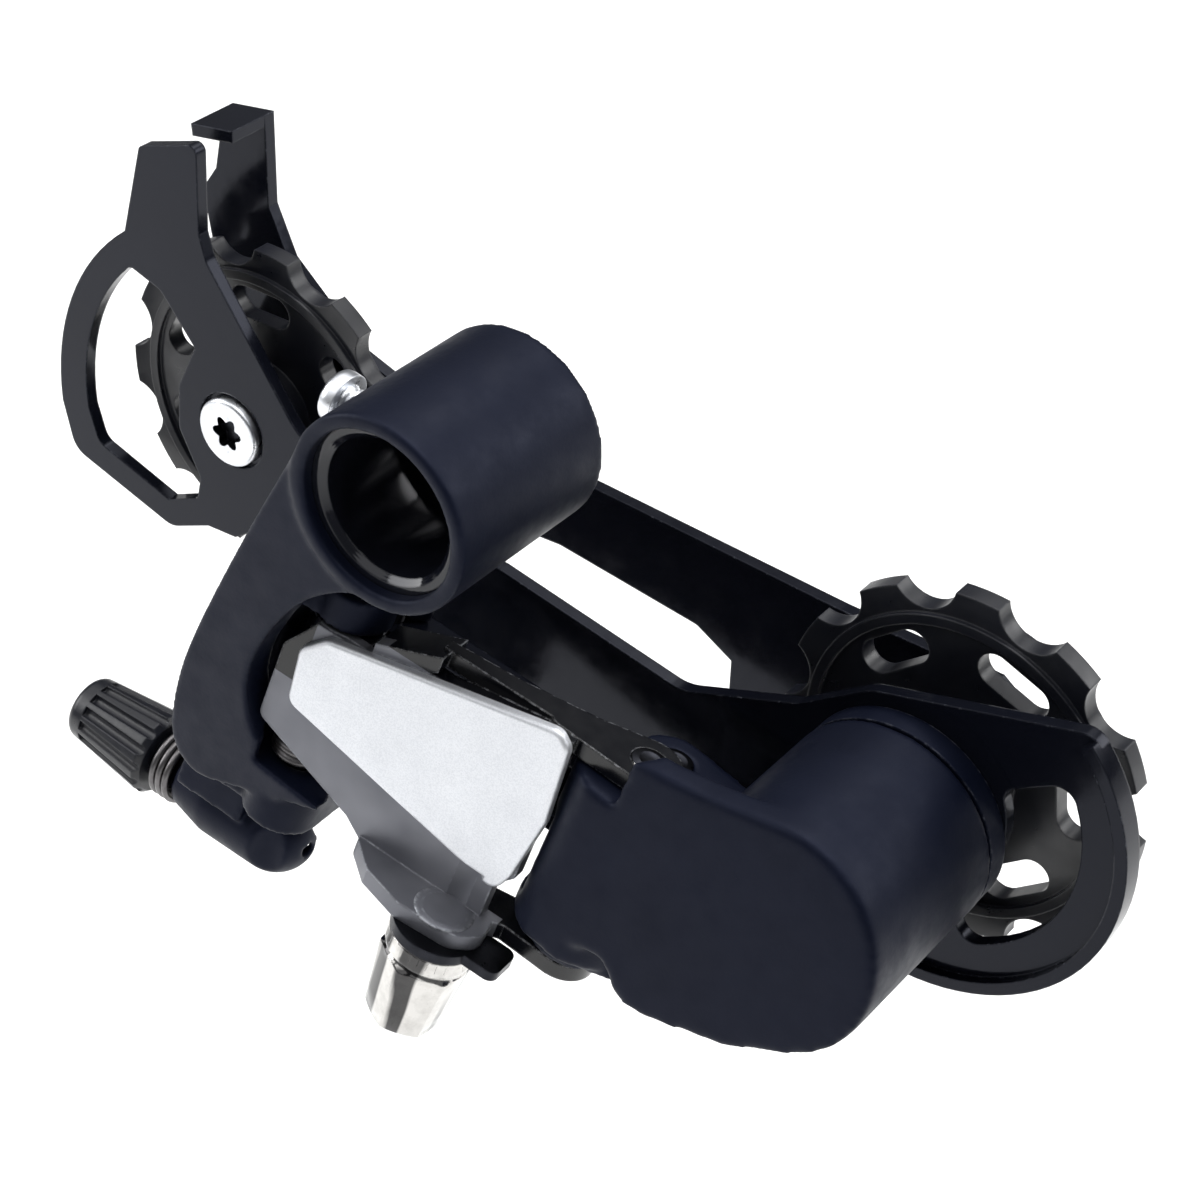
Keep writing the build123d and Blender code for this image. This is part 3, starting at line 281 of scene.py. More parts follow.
def link_distances(tree, place):
    """Distances in metres from the outer pin's joint: along the link, inward and up the pins."""
    found = []
    for direction in (LINK_LENGTHWISE, LINK_INWARD, PIN_AXIS):
        dot = add(tree, "ShaderNodeVectorMath", {0: place, 1: direction}, operation="DOT_PRODUCT")
        found.append(sums(tree, "SUBTRACT", dot.outputs["Value"], OUTER_PIN.dot(direction)))
    return found


def above(tree, value, limit_mm):
    """One where a distance is over a limit, with a border 0.1 mm wide."""
    return ranged(tree, value, (limit_mm - 0.05) * MM, (limit_mm + 0.05) * MM, 0.0, 1.0)


def below(tree, value, limit_mm):
    return ranged(tree, value, (limit_mm - 0.05) * MM, (limit_mm + 0.05) * MM, 1.0, 0.0)


def make_link_paint(finishes):
    """Pressed steel link in three colours: bright satin silver on the raised face, a smoother, darker
    grey on the strip and lobe below it, which is painted shade on the same silver paint, and gloss black
    on its flanges."""
    made, tree = start_material("Satin silver and gloss black paint on pressed steel")
    place = object_place(tree)
    softened = rounded_normal(tree, 0.35 * MM)
    lengthwise, inward, height = link_distances(tree, place)
    raised = sums(tree, "MULTIPLY", below(tree, inward, FACE_INWARD), above(tree, height, FACE_HEIGHT))
    strip = below(tree, inward, STRIP_INWARD)
    outer = sums(tree, "MULTIPLY", strip, below(tree, lengthwise, STRIP_LENGTHWISE))
    outer = sums(tree, "MULTIPLY", outer, below(tree, height, STRIP_HEIGHT))
    # behind the raised face's rear end the strip is black above its middle
    ahead = above(tree, lengthwise, REAR_LENGTHWISE)
    rear = sums(tree, "MAXIMUM", ahead, below(tree, height, REAR_HEIGHT))
    outer = sums(tree, "MULTIPLY", outer, rear)
    outer = sums(tree, "MAXIMUM", outer, raised)
    bright = solid(finishes.silver_colour)
    dull = mixed(tree, grain(tree, place, 9.0, 2.0), bright, solid(linear("#dcdee3")))
    # metal flake in the silver, drawn 0.2 mm wide so that it shows
    flake = grain(tree, place, 0.2, 3.0, 0.8)
    silver = mixed(tree, ranged(tree, flake, 0.42, 0.62, 0.0, 0.35), dull, solid(linear("#b3b7be")))
    # painted shade: the silver strip and lobe are given a darker grey
    pale = solid(finishes.shaded_silver_colour)
    grey = mixed(tree, grain(tree, place, 7.0, 2.0), pale, solid(linear("#54565e")))
    colour = mixed(tree, outer, solid(finishes.enamel_colour), grey)
    colour = mixed(tree, raised, colour, silver)
    # lighter edges: partly rubbed wear, partly painted highlight
    rubbed = worn_and_highlit_edges(tree, place, softened, 0.8, 0.45, 0.6)
    colour = mixed(tree, sums(tree, "MULTIPLY", rubbed, 0.5), colour, solid(linear("#c9ccd2")))
    # the grey carries less metal flake than the silver
    metal = sums(tree, "MULTIPLY", outer, 0.55)
    metal = sums(tree, "MAXIMUM", metal, sums(tree, "MULTIPLY", raised, 0.75))
    base_rough = ranged(tree, grain(tree, place, 2.5, 4.0, 0.6), 0.3, 0.7, 0.16, 0.26)
    satin = sums(tree, "ADD", sums(tree, "MULTIPLY", outer, 0.22), base_rough)
    coarse = sums(tree, "MULTIPLY", flake, sums(tree, "ADD", sums(tree, "MULTIPLY", raised, 0.9), 0.1))
    end_material(tree, {
        "Base Color": colour, "Roughness": satin, "Metallic": metal, "IOR": 1.5,
        "Normal": bumped(tree, coarse, 0.02 * MM, 0.3, softened)})
    return made


def make_metal(name, colour, dark, rough_low, rough_high, spots, reflection_bands=0.0):
    """A steel surface: thin dull patches, fine handling marks and softened edges. Reflection bands are
    dark streaks painted along a turned piece, about 2 mm apart, as painted reflections."""
    made, tree = start_material(name)
    place = object_place(tree)
    softened = rounded_normal(tree, 0.2 * MM)
    patches = grain(tree, place, 1.8, 4.0, 0.65)
    shade = mixed(tree, ranged(tree, patches, 0.4, 0.75, 0.0, 0.6), solid(colour), solid(dark))
    specks = ranged(tree, grain(tree, place, 0.5, 4.0, 0.7), 0.62, 0.7, 0.0, spots)
    shade = mixed(tree, specks, shade, solid(linear("#3b3a3a")))
    if reflection_bands:
        # taking most of the height out of the place draws the noise out along the pins' axis
        height = add(tree, "ShaderNodeVectorMath", {0: place, 1: PIN_AXIS}, operation="DOT_PRODUCT")
        inputs = {0: PIN_AXIS, "Scale": sums(tree, "MULTIPLY", height.outputs["Value"], 0.94)}
        lift = add(tree, "ShaderNodeVectorMath", inputs, operation="SCALE").outputs[0]
        flat = add(tree, "ShaderNodeVectorMath", {0: place, 1: lift}, operation="SUBTRACT").outputs[0]
        # painted reflection: dark streaks along the pins' axis, mixed into the base colour
        painted_reflection_streak = ranged(tree, grain(tree, flat, 2.1, 1.5), 0.45, 0.56, 0.0, reflection_bands)
        shade = mixed(tree, painted_reflection_streak, shade, solid(linear("#17171b")))
    rough = ranged(tree, patches, 0.3, 0.7, rough_low, rough_high)
    marks = grain(tree, place, 0.35, 3.0, 0.7)
    end_material(tree, {
        "Base Color": shade, "Roughness": rough, "Metallic": 1.0,
        "Normal": bumped(tree, marks, 0.006 * MM, 0.35, softened)})
    return made


def make_chrome(finishes):
    """Chromed steel: mirror bright and a little warm, with grey specks where the plate is thin and
    painted reflections: dark streaks along the turned pieces."""
    # the last number is the strength of the painted reflection streaks
    return make_metal(
        "Chromed turned steel", linear("#cfcdca"), linear("#a5a3a0"), 0.05, 0.12, 0.3, 0.9)


def make_zinc(finishes):
    """Bright zinc plate on cold-headed steel: whiter and softer than chrome, and a little cloudy."""
    return make_metal(
        "Zinc plated cold-headed steel", linear("#e6e8ec"), linear("#b4b8c0"), 0.22, 0.4, 0.25)


def make_spring_wire(finishes):
    """Drawn spring wire, oil tempered: brown-grey with a low sheen."""
    return make_metal(
        "Oil tempered drawn steel wire", linear("#6d6b6c"), linear("#413f40"), 0.28, 0.46, 0.4)


def make_black_steel(finishes):
    """Turned steel with black oxide: charcoal, slightly oily, with grey showing on rubbed edges."""
    return make_metal(
        "Black oxide turned steel", linear("#2b2c31"), linear("#17181c"), 0.26, 0.44, 0.2)


def make_moulded_plastic(finishes):
    """Injection-moulded black acetal: waxy, with the mould's fine spark-eroded grain and a painted sheen
    on its edges, partly handling wear."""
    made, tree = start_material("Injection-moulded black acetal")
    place = object_place(tree)
    softened = rounded_normal(tree, 0.3 * MM)
    deep = solid(finishes.plastic_colour)
    colour = mixed(tree, grain(tree, place, 5.0, 3.0), deep, solid(linear("#181a22")))
    # painted sheen: every edge lighter in colour, partly handling wear
    handled_edge_sheen = sums(tree, "MULTIPLY", edge_share(tree, softened), 0.14)
    colour = mixed(tree, handled_edge_sheen, colour, solid(linear("#4a4d58")))
    # spark-eroded mould grain, 0.3 mm
    erosion = grain(tree, place, 0.3, 2.0)
    rough = ranged(tree, grain(tree, place, 2.4, 4.0, 0.6), 0.3, 0.7, 0.26, 0.42)
    end_material(tree, {
        "Base Color": colour, "Roughness": rough, "IOR": 1.48, "Specular IOR Level": 0.45,
        "Normal": bumped(tree, erosion, 0.012 * MM, 0.4, softened)})
    return made


def make_paper(colour):
    """Matt background paper: even and pale, with only its fibre to break it."""
    made, tree = start_material("Matt cotton background paper")
    place = object_place(tree)
    # paper fibre, drawn 3 mm long so that it shows at all
    fibre = grain(tree, place, 3.0, 3.0)
    shade = mixed(tree, fibre, solid(colour), solid(linear("#f4f4f3")))
    relief = add(tree, "ShaderNodeBump", {"Height": fibre, "Distance": 0.05 * MM, "Strength": 0.2})
    end_material(tree, {
        "Base Color": shade, "Roughness": 0.9, "IOR": 1.4, "Specular IOR Level": 0.1,
        "Normal": relief.outputs[0]})
    return made


MAKERS = {
    "cast_black": make_cast_paint,
    "plate_black": make_gloss_enamel,
    "link_silver": make_link_paint,
    "link_black": make_gloss_enamel,
    "chrome_steel": make_chrome,
    "zinc_steel": make_zinc,
    "black_plastic": make_moulded_plastic,
    "sleeve_black": make_sleeve,
    "spring_steel": make_spring_wire,
    "black_steel": make_black_steel,
}
made_finishes = {}


def finish_of(slot):
    """The material of a slot, made once."""
    maker = MAKERS[slot]
    if maker.__name__ not in made_finishes:
        made_finishes[maker.__name__] = maker(bpy.context.scene.derailleur_finishes)
    return made_finishes[maker.__name__]


def paint_nodes(slot, *names):
    """Give nodes of the frame their finish."""
    for name in names:
        if name not in NODES:
            raise RuntimeError("the frame has no node " + name)
        NODES[name].data.materials.clear()
        NODES[name].data.materials.append(finish_of(slot))


# ---- building pieces ----
def ring_stack(rings, segments):
    """A closed body of rings round +Z. A ring is its height, and its radius or a function that gives
    its radius at an angle."""
    body = bmesh.new()
    loops = []
    for height, radius in rings:
        loop = []
        for step in range(segments):
            angle = step * math.tau / segments
            reach = radius(angle) if callable(radius) else radius
            loop.append(body.verts.new((reach * math.cos(angle), reach * math.sin(angle), height)))
        loops.append(loop)
    for lower, upper in zip(loops, loops[1:]):
        for step in range(segments):
            after = (step + 1) % segments
            body.faces.new((lower[step], lower[after], upper[after], upper[step]))
    for loop, height in ((loops[0], rings[0][0]), (loops[-1], rings[-1][0])):
        middle = body.verts.new((0, 0, height))
        for step in range(segments):
            body.faces.new((middle, loop[step], loop[(step + 1) % segments]))
    bmesh.ops.recalc_face_normals(body, faces=body.faces)
    return body


def put(body, name, placing, slot, rides_on, *stands_for):
    """Make a piece of a body, in its place, with its finish and the CAD body it moves with."""
    for face in body.faces:
        face.smooth = True
    for edge in body.edges:
        edge.smooth = len(edge.link_faces) == 2 and edge.calc_face_angle(0) < SHARP_ANGLE
    mesh = bpy.data.meshes.new(name)
    body.to_mesh(mesh)
    body.free()
    mesh.transform(placing)
    piece = bpy.data.objects.new(name, mesh)
    bpy.context.scene.collection.objects.link(piece)
    mesh.materials.append(finish_of(slot))
    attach(piece, rides_on)
    if stands_for:
        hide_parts(*stands_for)
    return piece


def thread(radius, pitch, low, high):
    """Rings of a screw thread between two heights."""
    depth = 0.55 * pitch
    rings_per_turn = 8
    count = max(4, round((high - low) / pitch * rings_per_turn))

    def crest(height):
        def reach(angle):
            turn = (height / pitch - angle / math.tau) % 1
            return radius - depth * abs(2 * turn - 1)
        return reach
    heights = [low + (high - low) * step / count for step in range(count + 1)]
    return [(height, crest(height)) for height in heights]


def cross(half_width, arm):
    """The outline of a cross recess."""
    def reach(angle):
        turn = (angle + math.pi / 4) % (math.pi / 2) - math.pi / 4
        return min(arm / math.cos(turn), half_width / max(abs(math.sin(turn)), 1e-6), arm * 1.05)
    return reach


def lobed(inner, outer, lobes):
    """The outline of a socket with rounded lobes."""
    def reach(angle):
        return inner + (outer - inner) * (0.5 + 0.5 * math.cos(lobes * angle)) ** 0.8
    return reach


def six_sided(apothem, corner_share):
    """A hexagon whose corners are eased towards a circle."""
    def reach(angle):
        turn = (angle + math.pi / 6) % (math.pi / 3) - math.pi / 6
        return apothem * ((1 - corner_share) / math.cos(turn) + corner_share)
    return reach


def blacken(piece, placing, low, high, widest):
    """Give the black oxide finish to the faces between two heights and inside a radius."""
    piece.data.materials.append(finish_of("black_steel"))
    back = placing.inverted()
    for polygon in piece.data.polygons:
        spot = back @ polygon.center
        if low < spot.z < high and math.hypot(spot.x, spot.y) < widest:
            polygon.material_index = 1


def thread_radius(node, point, axis):
    """The radius of a screw's shank at its far end."""
    high = reach_of(node, point, axis)[1]
    far_end = 4 * MM
    radius = 0
    for vertex in NODES[node].data.vertices:
        offset = vertex.co - point
        length = offset.dot(axis)
        if length > high - far_end:
            radius = max(radius, (offset - axis * length).length)
    return radius


def headed_screw(name, node, joint, head_radius, pitch, body_name):
    """A screw with a domed cross-recess head and a real thread, in place of the plain one."""
    point, axis = joint_axis(joint)
    low, high, widest = reach_of(node, point, axis)
    shank = thread_radius(node, point, axis)
    head = min(head_radius, widest)
    # the head's proportions, in head radii: its height, its dome and the recess's depth
    seat = low + head * 0.72
    dome = head * 0.42
    recess_end = low + head * 0.5
    mouth = cross(head * 0.17, head * 0.62)
    bottom = cross(head * 0.12, head * 0.5)
    rings = [(recess_end, bottom), (low + 0.04 * MM, mouth)]
    for share in (0.8, 0.9, 0.97, 1.0):
        drop = 1 - math.sqrt(max(0, 1 - share ** 2)) ** 0.6
        rings.append((low + dome * drop * share, head * share))
    rings += [(seat, head), (seat, shank)]
    # a plain neck, the thread and a pointed end
    rings += thread(shank, pitch, seat + 0.3 * MM, high - 0.4 * MM)
    rings.append((high, shank * 0.66))
    put(ring_stack(rings, 72), name, on_axis(point, axis), "zinc_steel", body_name, node)


def riveted_pin(name, node, point, body_name):
    """A chromed pin: a domed head at its foot and a peened end on top."""
    low, high, head = reach_of(node, point, PIN_AXIS)
    shank = thread_radius(node, point, PIN_AXIS)
    dome = 0.6 * MM
    under_head = low + 0.9 * MM
    peened = 0.5 * MM
    rings = []
    for share in (0.25, 0.5, 0.7, 0.85, 0.95, 1.0):
        rings.append((low + dome * (1 - math.sqrt(1 - share ** 2)), head * share))
    rings += [(under_head, head), (under_head, shank), (high - peened, shank)]
    for share in (0.96, 0.86, 0.7, 0.62):
        rings.append((high - peened * share, shank * share))
    # the dimple that the riveting tool leaves
    rings += [(high - 0.42 * MM, shank * 0.5), (high - 0.46 * MM, shank * 0.2)]
    placing = on_axis(point, PIN_AXIS)
    pin = put(ring_stack(rings, 64), name, placing, "chrome_steel", body_name, node)
    # the peened end is given the black oxide finish, darker than the chromed pin
    blacken(pin, placing, high - 0.65 * MM, high, head)


def pulley_bolt(name, node, joint, body_name):
    """A zinc plated button-head bolt with a six-lobe socket."""
    point, axis = joint_axis(joint)
    low, high, head = reach_of(node, point, axis)
    # the vertices of the head's rim say at which end the head is
    lengths = []
    for vertex in NODES[node].data.vertices:
        offset = vertex.co - point
        length = offset.dot(axis)
        if (offset - axis * length).length > head * 0.97:
            lengths.append(length)
    if abs(high - max(lengths)) > abs(low - min(lengths)):
        axis = -axis
        low, high = -high, -low
    # the head is now at the high end
    shank = 2.5 * MM
    seat = high - 1.7 * MM
    rim = seat + 0.55 * MM
    mouth = lobed(head * 0.34, head * 0.5, 6)
    bottom = lobed(head * 0.3, head * 0.45, 6)
    rings = [(low, shank * 0.9), (low + 0.3 * MM, shank), (seat, shank), (seat, head)]
    for share in (0.25, 0.5, 0.75, 0.9, 1.0):
        rise = math.sqrt(1 - (1 - share) ** 2)
        narrowing = 0.24 * (1 - math.sqrt(1 - share ** 2))
        rings.append((rim + (high - rim) * rise, head * (1 - narrowing)))
    rings += [(high - 0.02 * MM, head * 0.6), (high - 0.1 * MM, mouth), (high - 1.3 * MM, bottom)]
    placing = on_axis(point, axis)
    bolt = put(ring_stack(rings, 96), name, placing, "zinc_steel", body_name, node)
    # painted shade: the inside of the socket is given the black oxide finish, darker than the plated
    # head
    blacken(bolt, placing, high - 1.35 * MM, high - 0.15 * MM, head * 0.55)


def soft_casting(name, node, cell, front, slot, body_name):
    """A casting's own shape with the radii that the die leaves on every edge, and a broader round on
    the front edge. Front is None, or a point on the front plane, the direction out of the casting
    there and the depth of the round."""
    piece = bpy.data.objects.new(name, NODES[node].data.copy())
    bpy.context.scene.collection.objects.link(piece)
    skin = piece.modifiers.new("even skin", "REMESH")
    skin.mode = "VOXEL"
    skin.voxel_size = cell
    settle(piece)
    if front is not None:
        point, direction, depth = front
        group = piece.vertex_groups.new(name="front edge")
        for vertex in piece.data.vertices:
            behind = -(vertex.co - point).dot(direction)
            if behind < depth:
                # full strength over the outer six tenths, then fading
                share = min(1.0, (depth - behind) / (0.4 * depth))
                group.add([vertex.index], share, "REPLACE")
        relax = piece.modifiers.new("front round", "SMOOTH")
        relax.iterations = FRONT_ROUNDS
        relax.vertex_group = group.name
    ease = piece.modifiers.new("die radii", "SMOOTH")
    ease.iterations = DIE_ROUNDS
    settle(piece)
    for polygon in piece.data.polygons:
        polygon.use_smooth = True
    piece.data.materials.clear()
    piece.data.materials.append(finish_of(slot))
    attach(piece, body_name)
    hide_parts(node)


def settle(piece):
    """Keep the shape that the modifiers give, and drop them."""
    graph = bpy.context.evaluated_depsgraph_get()
    piece.data = bpy.data.meshes.new_from_object(piece.evaluated_get(graph))
    piece.modifiers.clear()


# ---- sizes and colours ----
class DerailleurFinishes(bpy.types.PropertyGroup):
    """Colours of the finishes."""
    paint_colour: FloatVectorProperty(
        name="Casting paint", description="Satin paint of the castings", subtype="COLOR", size=3,
        min=0, max=1, default=linear("#060915"))
    paint_dust_colour: FloatVectorProperty(
        name="Casting paint, pale", description="The same paint where it is thin or dusty",
        subtype="COLOR", size=3, min=0, max=1, default=linear("#0c101e"))
    enamel_colour: FloatVectorProperty(
        name="Enamel", description="Gloss enamel of the cage plates and links", subtype="COLOR", size=3,
        min=0, max=1, default=linear("#08090e"))
    silver_colour: FloatVectorProperty(
        name="Silver", description="Raised face of the outer link", subtype="COLOR", size=3,
        min=0, max=1, default=linear("#e6e8ec"))
    # painted shade: the darker grey given to the silver strip and lobe
    shaded_silver_colour: FloatVectorProperty(
        name="Grey", description="Strip and lobe of the outer link", subtype="COLOR", size=3,
        min=0, max=1, default=linear("#85868c"))
    plastic_colour: FloatVectorProperty(
        name="Plastic", description="Pulleys and adjuster", subtype="COLOR", size=3,
        min=0, max=1, default=linear("#0b0c11"))


class DerailleurPieces(bpy.types.PropertyGroup):
    """Sizes of the fine pieces."""
    casting_cell: FloatProperty(
        name="Casting cell", description="Mesh width of the castings' skin", subtype="DISTANCE",
        unit="LENGTH", min=0.2 * MM, default=0.3 * MM, precision=5)
    b_screw_pitch: FloatProperty(
        name="Tension screw pitch", description="Thread pitch of the bracket tension screw",
        subtype="DISTANCE", unit="LENGTH", default=0.7 * MM, precision=5)
    limit_screw_pitch: FloatProperty(
        name="Limit screw pitch", description="Thread pitch of the two limit screws",
        subtype="DISTANCE", unit="LENGTH", default=0.5 * MM, precision=5)
    collar_notches: IntProperty(
        name="Collar notches", description="Notches round the cable clamp's collar", min=0, default=28)


class DerailleurStudio(bpy.types.PropertyGroup):
    """Floor, lights and camera."""
    floor_colour: FloatVectorProperty(
        name="Floor", description="Background paper", subtype="COLOR", size=3, min=0, max=1,
        default=linear("#fbfbfa"))
    azimuth: FloatProperty(
        name="Azimuth", description="Camera angle round the part", subtype="ANGLE", unit="ROTATION",
        default=math.radians(36.21))
    elevation: FloatProperty(
        name="Elevation", description="Camera angle above the horizon", subtype="ANGLE", unit="ROTATION",
        default=math.radians(33.8))
    distance: FloatProperty(
        name="Distance", description="Camera to the middle of the part", subtype="DISTANCE",
        unit="LENGTH", default=0.3083, precision=4)
    aside: FloatProperty(
        name="Aside", description="Camera moved right of the middle", subtype="DISTANCE", unit="LENGTH",
        default=0.0127, precision=4)
    raised: FloatProperty(
        name="Raised", description="Camera moved up from the middle", subtype="DISTANCE", unit="LENGTH",
        default=0.0019, precision=4)
    lens: FloatProperty(
        name="Lens", description="Focal length in millimetres", subtype="DISTANCE_CAMERA", default=85.66)
    sky_strength: FloatProperty(
        name="Overhead light", description="Broad even light from above", default=2.1)
    room_strength: FloatProperty(
        name="Room light", description="Light from the room all round", default=0.16)
    top_power: FloatProperty(
        name="Top light", description="Softbox above", unit="POWER", default=5.5)
    side_power: FloatProperty(
        name="Side light", description="Softbox at the left", unit="POWER", default=3.5)
    back_power: FloatProperty(
        name="Back light", description="Softbox behind at the right", unit="POWER", default=3.0)


# ---- operators ----
class DERAILLEUR_OT_bracket(bpy.types.Operator):
    """Bracket casting and its sleeve"""
    bl_idname = "derailleur.bracket"
    bl_label = "Bracket casting"

    def execute(self, context):
        paint_nodes("cast_black", "bracket_body")
        paint_nodes("sleeve_black", "hanger_bushing")
        cell = context.scene.derailleur_pieces.casting_cell
        soft_casting("bracket-casting", "bracket_body", cell, None, "cast_black", "bracket")
        return {"FINISHED"}


class DERAILLEUR_OT_knuckle(bpy.types.Operator):
    """Pulley knuckle casting, with the broad round on its front"""
    bl_idname = "derailleur.knuckle"
    bl_label = "Pulley knuckle casting"

    def execute(self, context):
        paint_nodes("cast_black", "pulley_knuckle", "spring_cover_ring")
        cell = context.scene.derailleur_pieces.casting_cell
        pivot = joint_axis("cage_pivot")[0]
        outward = Vector((0, -math.cos(KNUCKLE_SLANT), math.sin(KNUCKLE_SLANT)))
        point = Vector((pivot.x, KNUCKLE_FRONT, pivot.z))
        front = (point, outward, FRONT_ROUND_DEPTH)
        soft_casting("knuckle-casting", "pulley_knuckle", cell, front, "cast_black", "knuckle")
        return {"FINISHED"}


class DERAILLEUR_OT_links(bpy.types.Operator):
    """Outer and inner link"""
    bl_idname = "derailleur.links"
    bl_label = "Links"

    def execute(self, context):
        paint_nodes("link_silver", "outer_link")
        paint_nodes("link_black", "inner_link")
        return {"FINISHED"}


class DERAILLEUR_OT_cage(bpy.types.Operator):
    """Cage plates, stop pin and axle"""
    bl_idname = "derailleur.cage"
    bl_label = "Cage"

    def execute(self, context):
        paint_nodes("plate_black", "cage_outer_plate", "cage_inner_plate")
        paint_nodes("black_steel", "cage_axle", "cage_stop_pin")
        return {"FINISHED"}


class DERAILLEUR_OT_pulleys(bpy.types.Operator):
    """Pulleys, bushes, dust caps and their bolts"""
    bl_idname = "derailleur.pulleys"
    bl_label = "Pulleys"

    def execute(self, context):
        paint_nodes("black_plastic", "guide_pulley", "tension_pulley")
        paint_nodes("black_steel", "guide_dust_caps", "tension_dust_caps")
        paint_nodes("zinc_steel", "guide_bush", "tension_bush",
                    "guide_pulley_bolt", "tension_pulley_bolt")
        pulley_bolt("guide-bolt", "guide_pulley_bolt", "guide_spin", "cage")
        pulley_bolt("tension-bolt", "tension_pulley_bolt", "tension_spin", "cage")
        return {"FINISHED"}


class DERAILLEUR_OT_screws(bpy.types.Operator):
    """Bracket tension screw and the two limit screws"""
    bl_idname = "derailleur.screws"
    bl_label = "Screws"

    def execute(self, context):
        paint_nodes("zinc_steel", "b_tension_screw", "high_limit_screw", "low_limit_screw")
        pieces = context.scene.derailleur_pieces
        screws = (
            ("tension-screw", "b_tension_screw", "b_screw", 3.2 * MM, pieces.b_screw_pitch),
            ("high-screw", "high_limit_screw", "high_screw", 2.3 * MM, pieces.limit_screw_pitch),
            ("low-screw", "low_limit_screw", "low_screw", 2.3 * MM, pieces.limit_screw_pitch),
        )
        for name, node, body_name, head_radius, pitch in screws:
            headed_screw(name, node, body_name + "_turn", head_radius, pitch, body_name)
        return {"FINISHED"}


class DERAILLEUR_OT_pins(bpy.types.Operator):
    """The four riveted link pins"""
    bl_idname = "derailleur.pins"
    bl_label = "Link pins"

    def execute(self, context):
        names = ("bracket_outer_pin", "bracket_inner_pin", "knuckle_outer_pin", "knuckle_inner_pin")
        paint_nodes("chrome_steel", *names)
        outer, inner = joint_axis("link_swing")[0], joint_axis("inner_link_swing")[0]
        knuckle = joint_axis("knuckle_level")[0]
        riveted_pin("bracket-outer-rivet", names[0], outer, "bracket")
        riveted_pin("bracket-inner-rivet", names[1], inner, "bracket")
        riveted_pin("knuckle-outer-rivet", names[2], knuckle, "outer_link")
        riveted_pin("knuckle-inner-rivet", names[3], knuckle + inner - outer, "knuckle")
        return {"FINISHED"}


class DERAILLEUR_OT_clamp(bpy.types.Operator):
    """Cable clamp bolt, its collar and washers"""
    bl_idname = "derailleur.clamp"
    bl_label = "Cable clamp"

    def execute(self, context):
        paint_nodes("chrome_steel", "cable_clamp_bolt")
        paint_nodes("black_steel", "cable_clamp_washer")
        notches = context.scene.derailleur_pieces.collar_notches
        point = OUTER_PIN + LINK_LENGTHWISE * CLAMP_LENGTHWISE - LINK_INWARD * CLAMP_OUTWARD
        tip, high, wide = reach_of("cable_clamp_bolt", point, PIN_AXIS)
        collar_low = tip + 9.8 * MM
        collar_high = collar_low + 2.6 * MM
        shank = 2.5 * MM

        def notched(radius, depth):
            def reach(angle):
                return radius - depth * max(0, math.cos(notches * angle)) ** 4
            return reach
        # the socket, then the flats of the head: over the tip, how wide and how round, in millimetres
        socket = six_sided(2.0 * MM, 0)
        rings = [(tip + 1.6 * MM, socket), (tip + 0.15 * MM, socket), (tip, 2.7 * MM)]
        flats = [(0, 3.5, 0.5), (0.12, 3.75, 0.45), (0.4, 3.95, 0.4)]
        flats += [(8.6 * share + 0.5, 3.95 + 0.8 * share, 0.4) for share in (0.25, 0.5, 0.75, 0.92)]
        for lift, half_width, roundness in flats:
            rings.append((tip + lift * MM, six_sided(half_width * MM, roundness)))
        # a groove, then the collar with its notched rim
        rings += [(collar_low - 0.7 * MM, six_sided(4.78 * MM, 0.5)), (collar_low - 0.5 * MM, 4.85 * MM),
                  (collar_low - 0.3 * MM, 4.6 * MM), (collar_low, 4.5 * MM),
                  (collar_low + 0.05 * MM, 4.7 * MM), (collar_low + 0.35 * MM, 4.95 * MM),
                  (collar_low + 0.8 * MM, wide), (collar_low + 1.2 * MM, notched(wide, 0.25 * MM)),
                  (collar_high - 0.6 * MM, notched(wide, 0.25 * MM)), (collar_high - 0.3 * MM, wide),
                  (collar_high, wide - 0.3 * MM), (collar_high, shank)]
        # the thread stops inside the lobe, whose skin is closed over it
        thread_end = high - 1.4 * MM
        rings += thread(shank, 0.8 * MM, collar_high + 0.2 * MM, thread_end)
        rings.append((thread_end, 2.0 * MM))
        placing = on_axis(point, PIN_AXIS)
        put(ring_stack(rings, 144), "clamp-bolt", placing, "chrome_steel", "outer_link",
            "cable_clamp_bolt")
        # the skin's rings: under the bolt's end and how wide, in millimetres
        skin = ((1.3, 2.52), (0.84, 2.52), (0.83, 3.6), (0.78, 3.3), (0.72, 2.4), (0.68, 1.2),
                (0.67, 0.4))
        skin = [(high - under * MM, radius * MM) for under, radius in skin]
        put(ring_stack(skin, 64), "lobe-skin", placing, "link_silver", "outer_link")
        return {"FINISHED"}


class DERAILLEUR_OT_adjuster(bpy.types.Operator):
    """Cable adjuster and its stem"""
    bl_idname = "derailleur.adjuster"
    bl_label = "Cable adjuster"

    def execute(self, context):
        paint_nodes("black_plastic", "adjuster_barrel")
        paint_nodes("black_steel", "adjuster_stem")
        return {"FINISHED"}


class DERAILLEUR_OT_springs(bpy.types.Operator):
    """Springs of the links, the cage and the adjuster"""
    bl_idname = "derailleur.springs"
    bl_label = "Springs"

    def execute(self, context):
        paint_nodes("spring_steel", "link_spring", "cage_spring", "adjuster_spring")
        return {"FINISHED"}


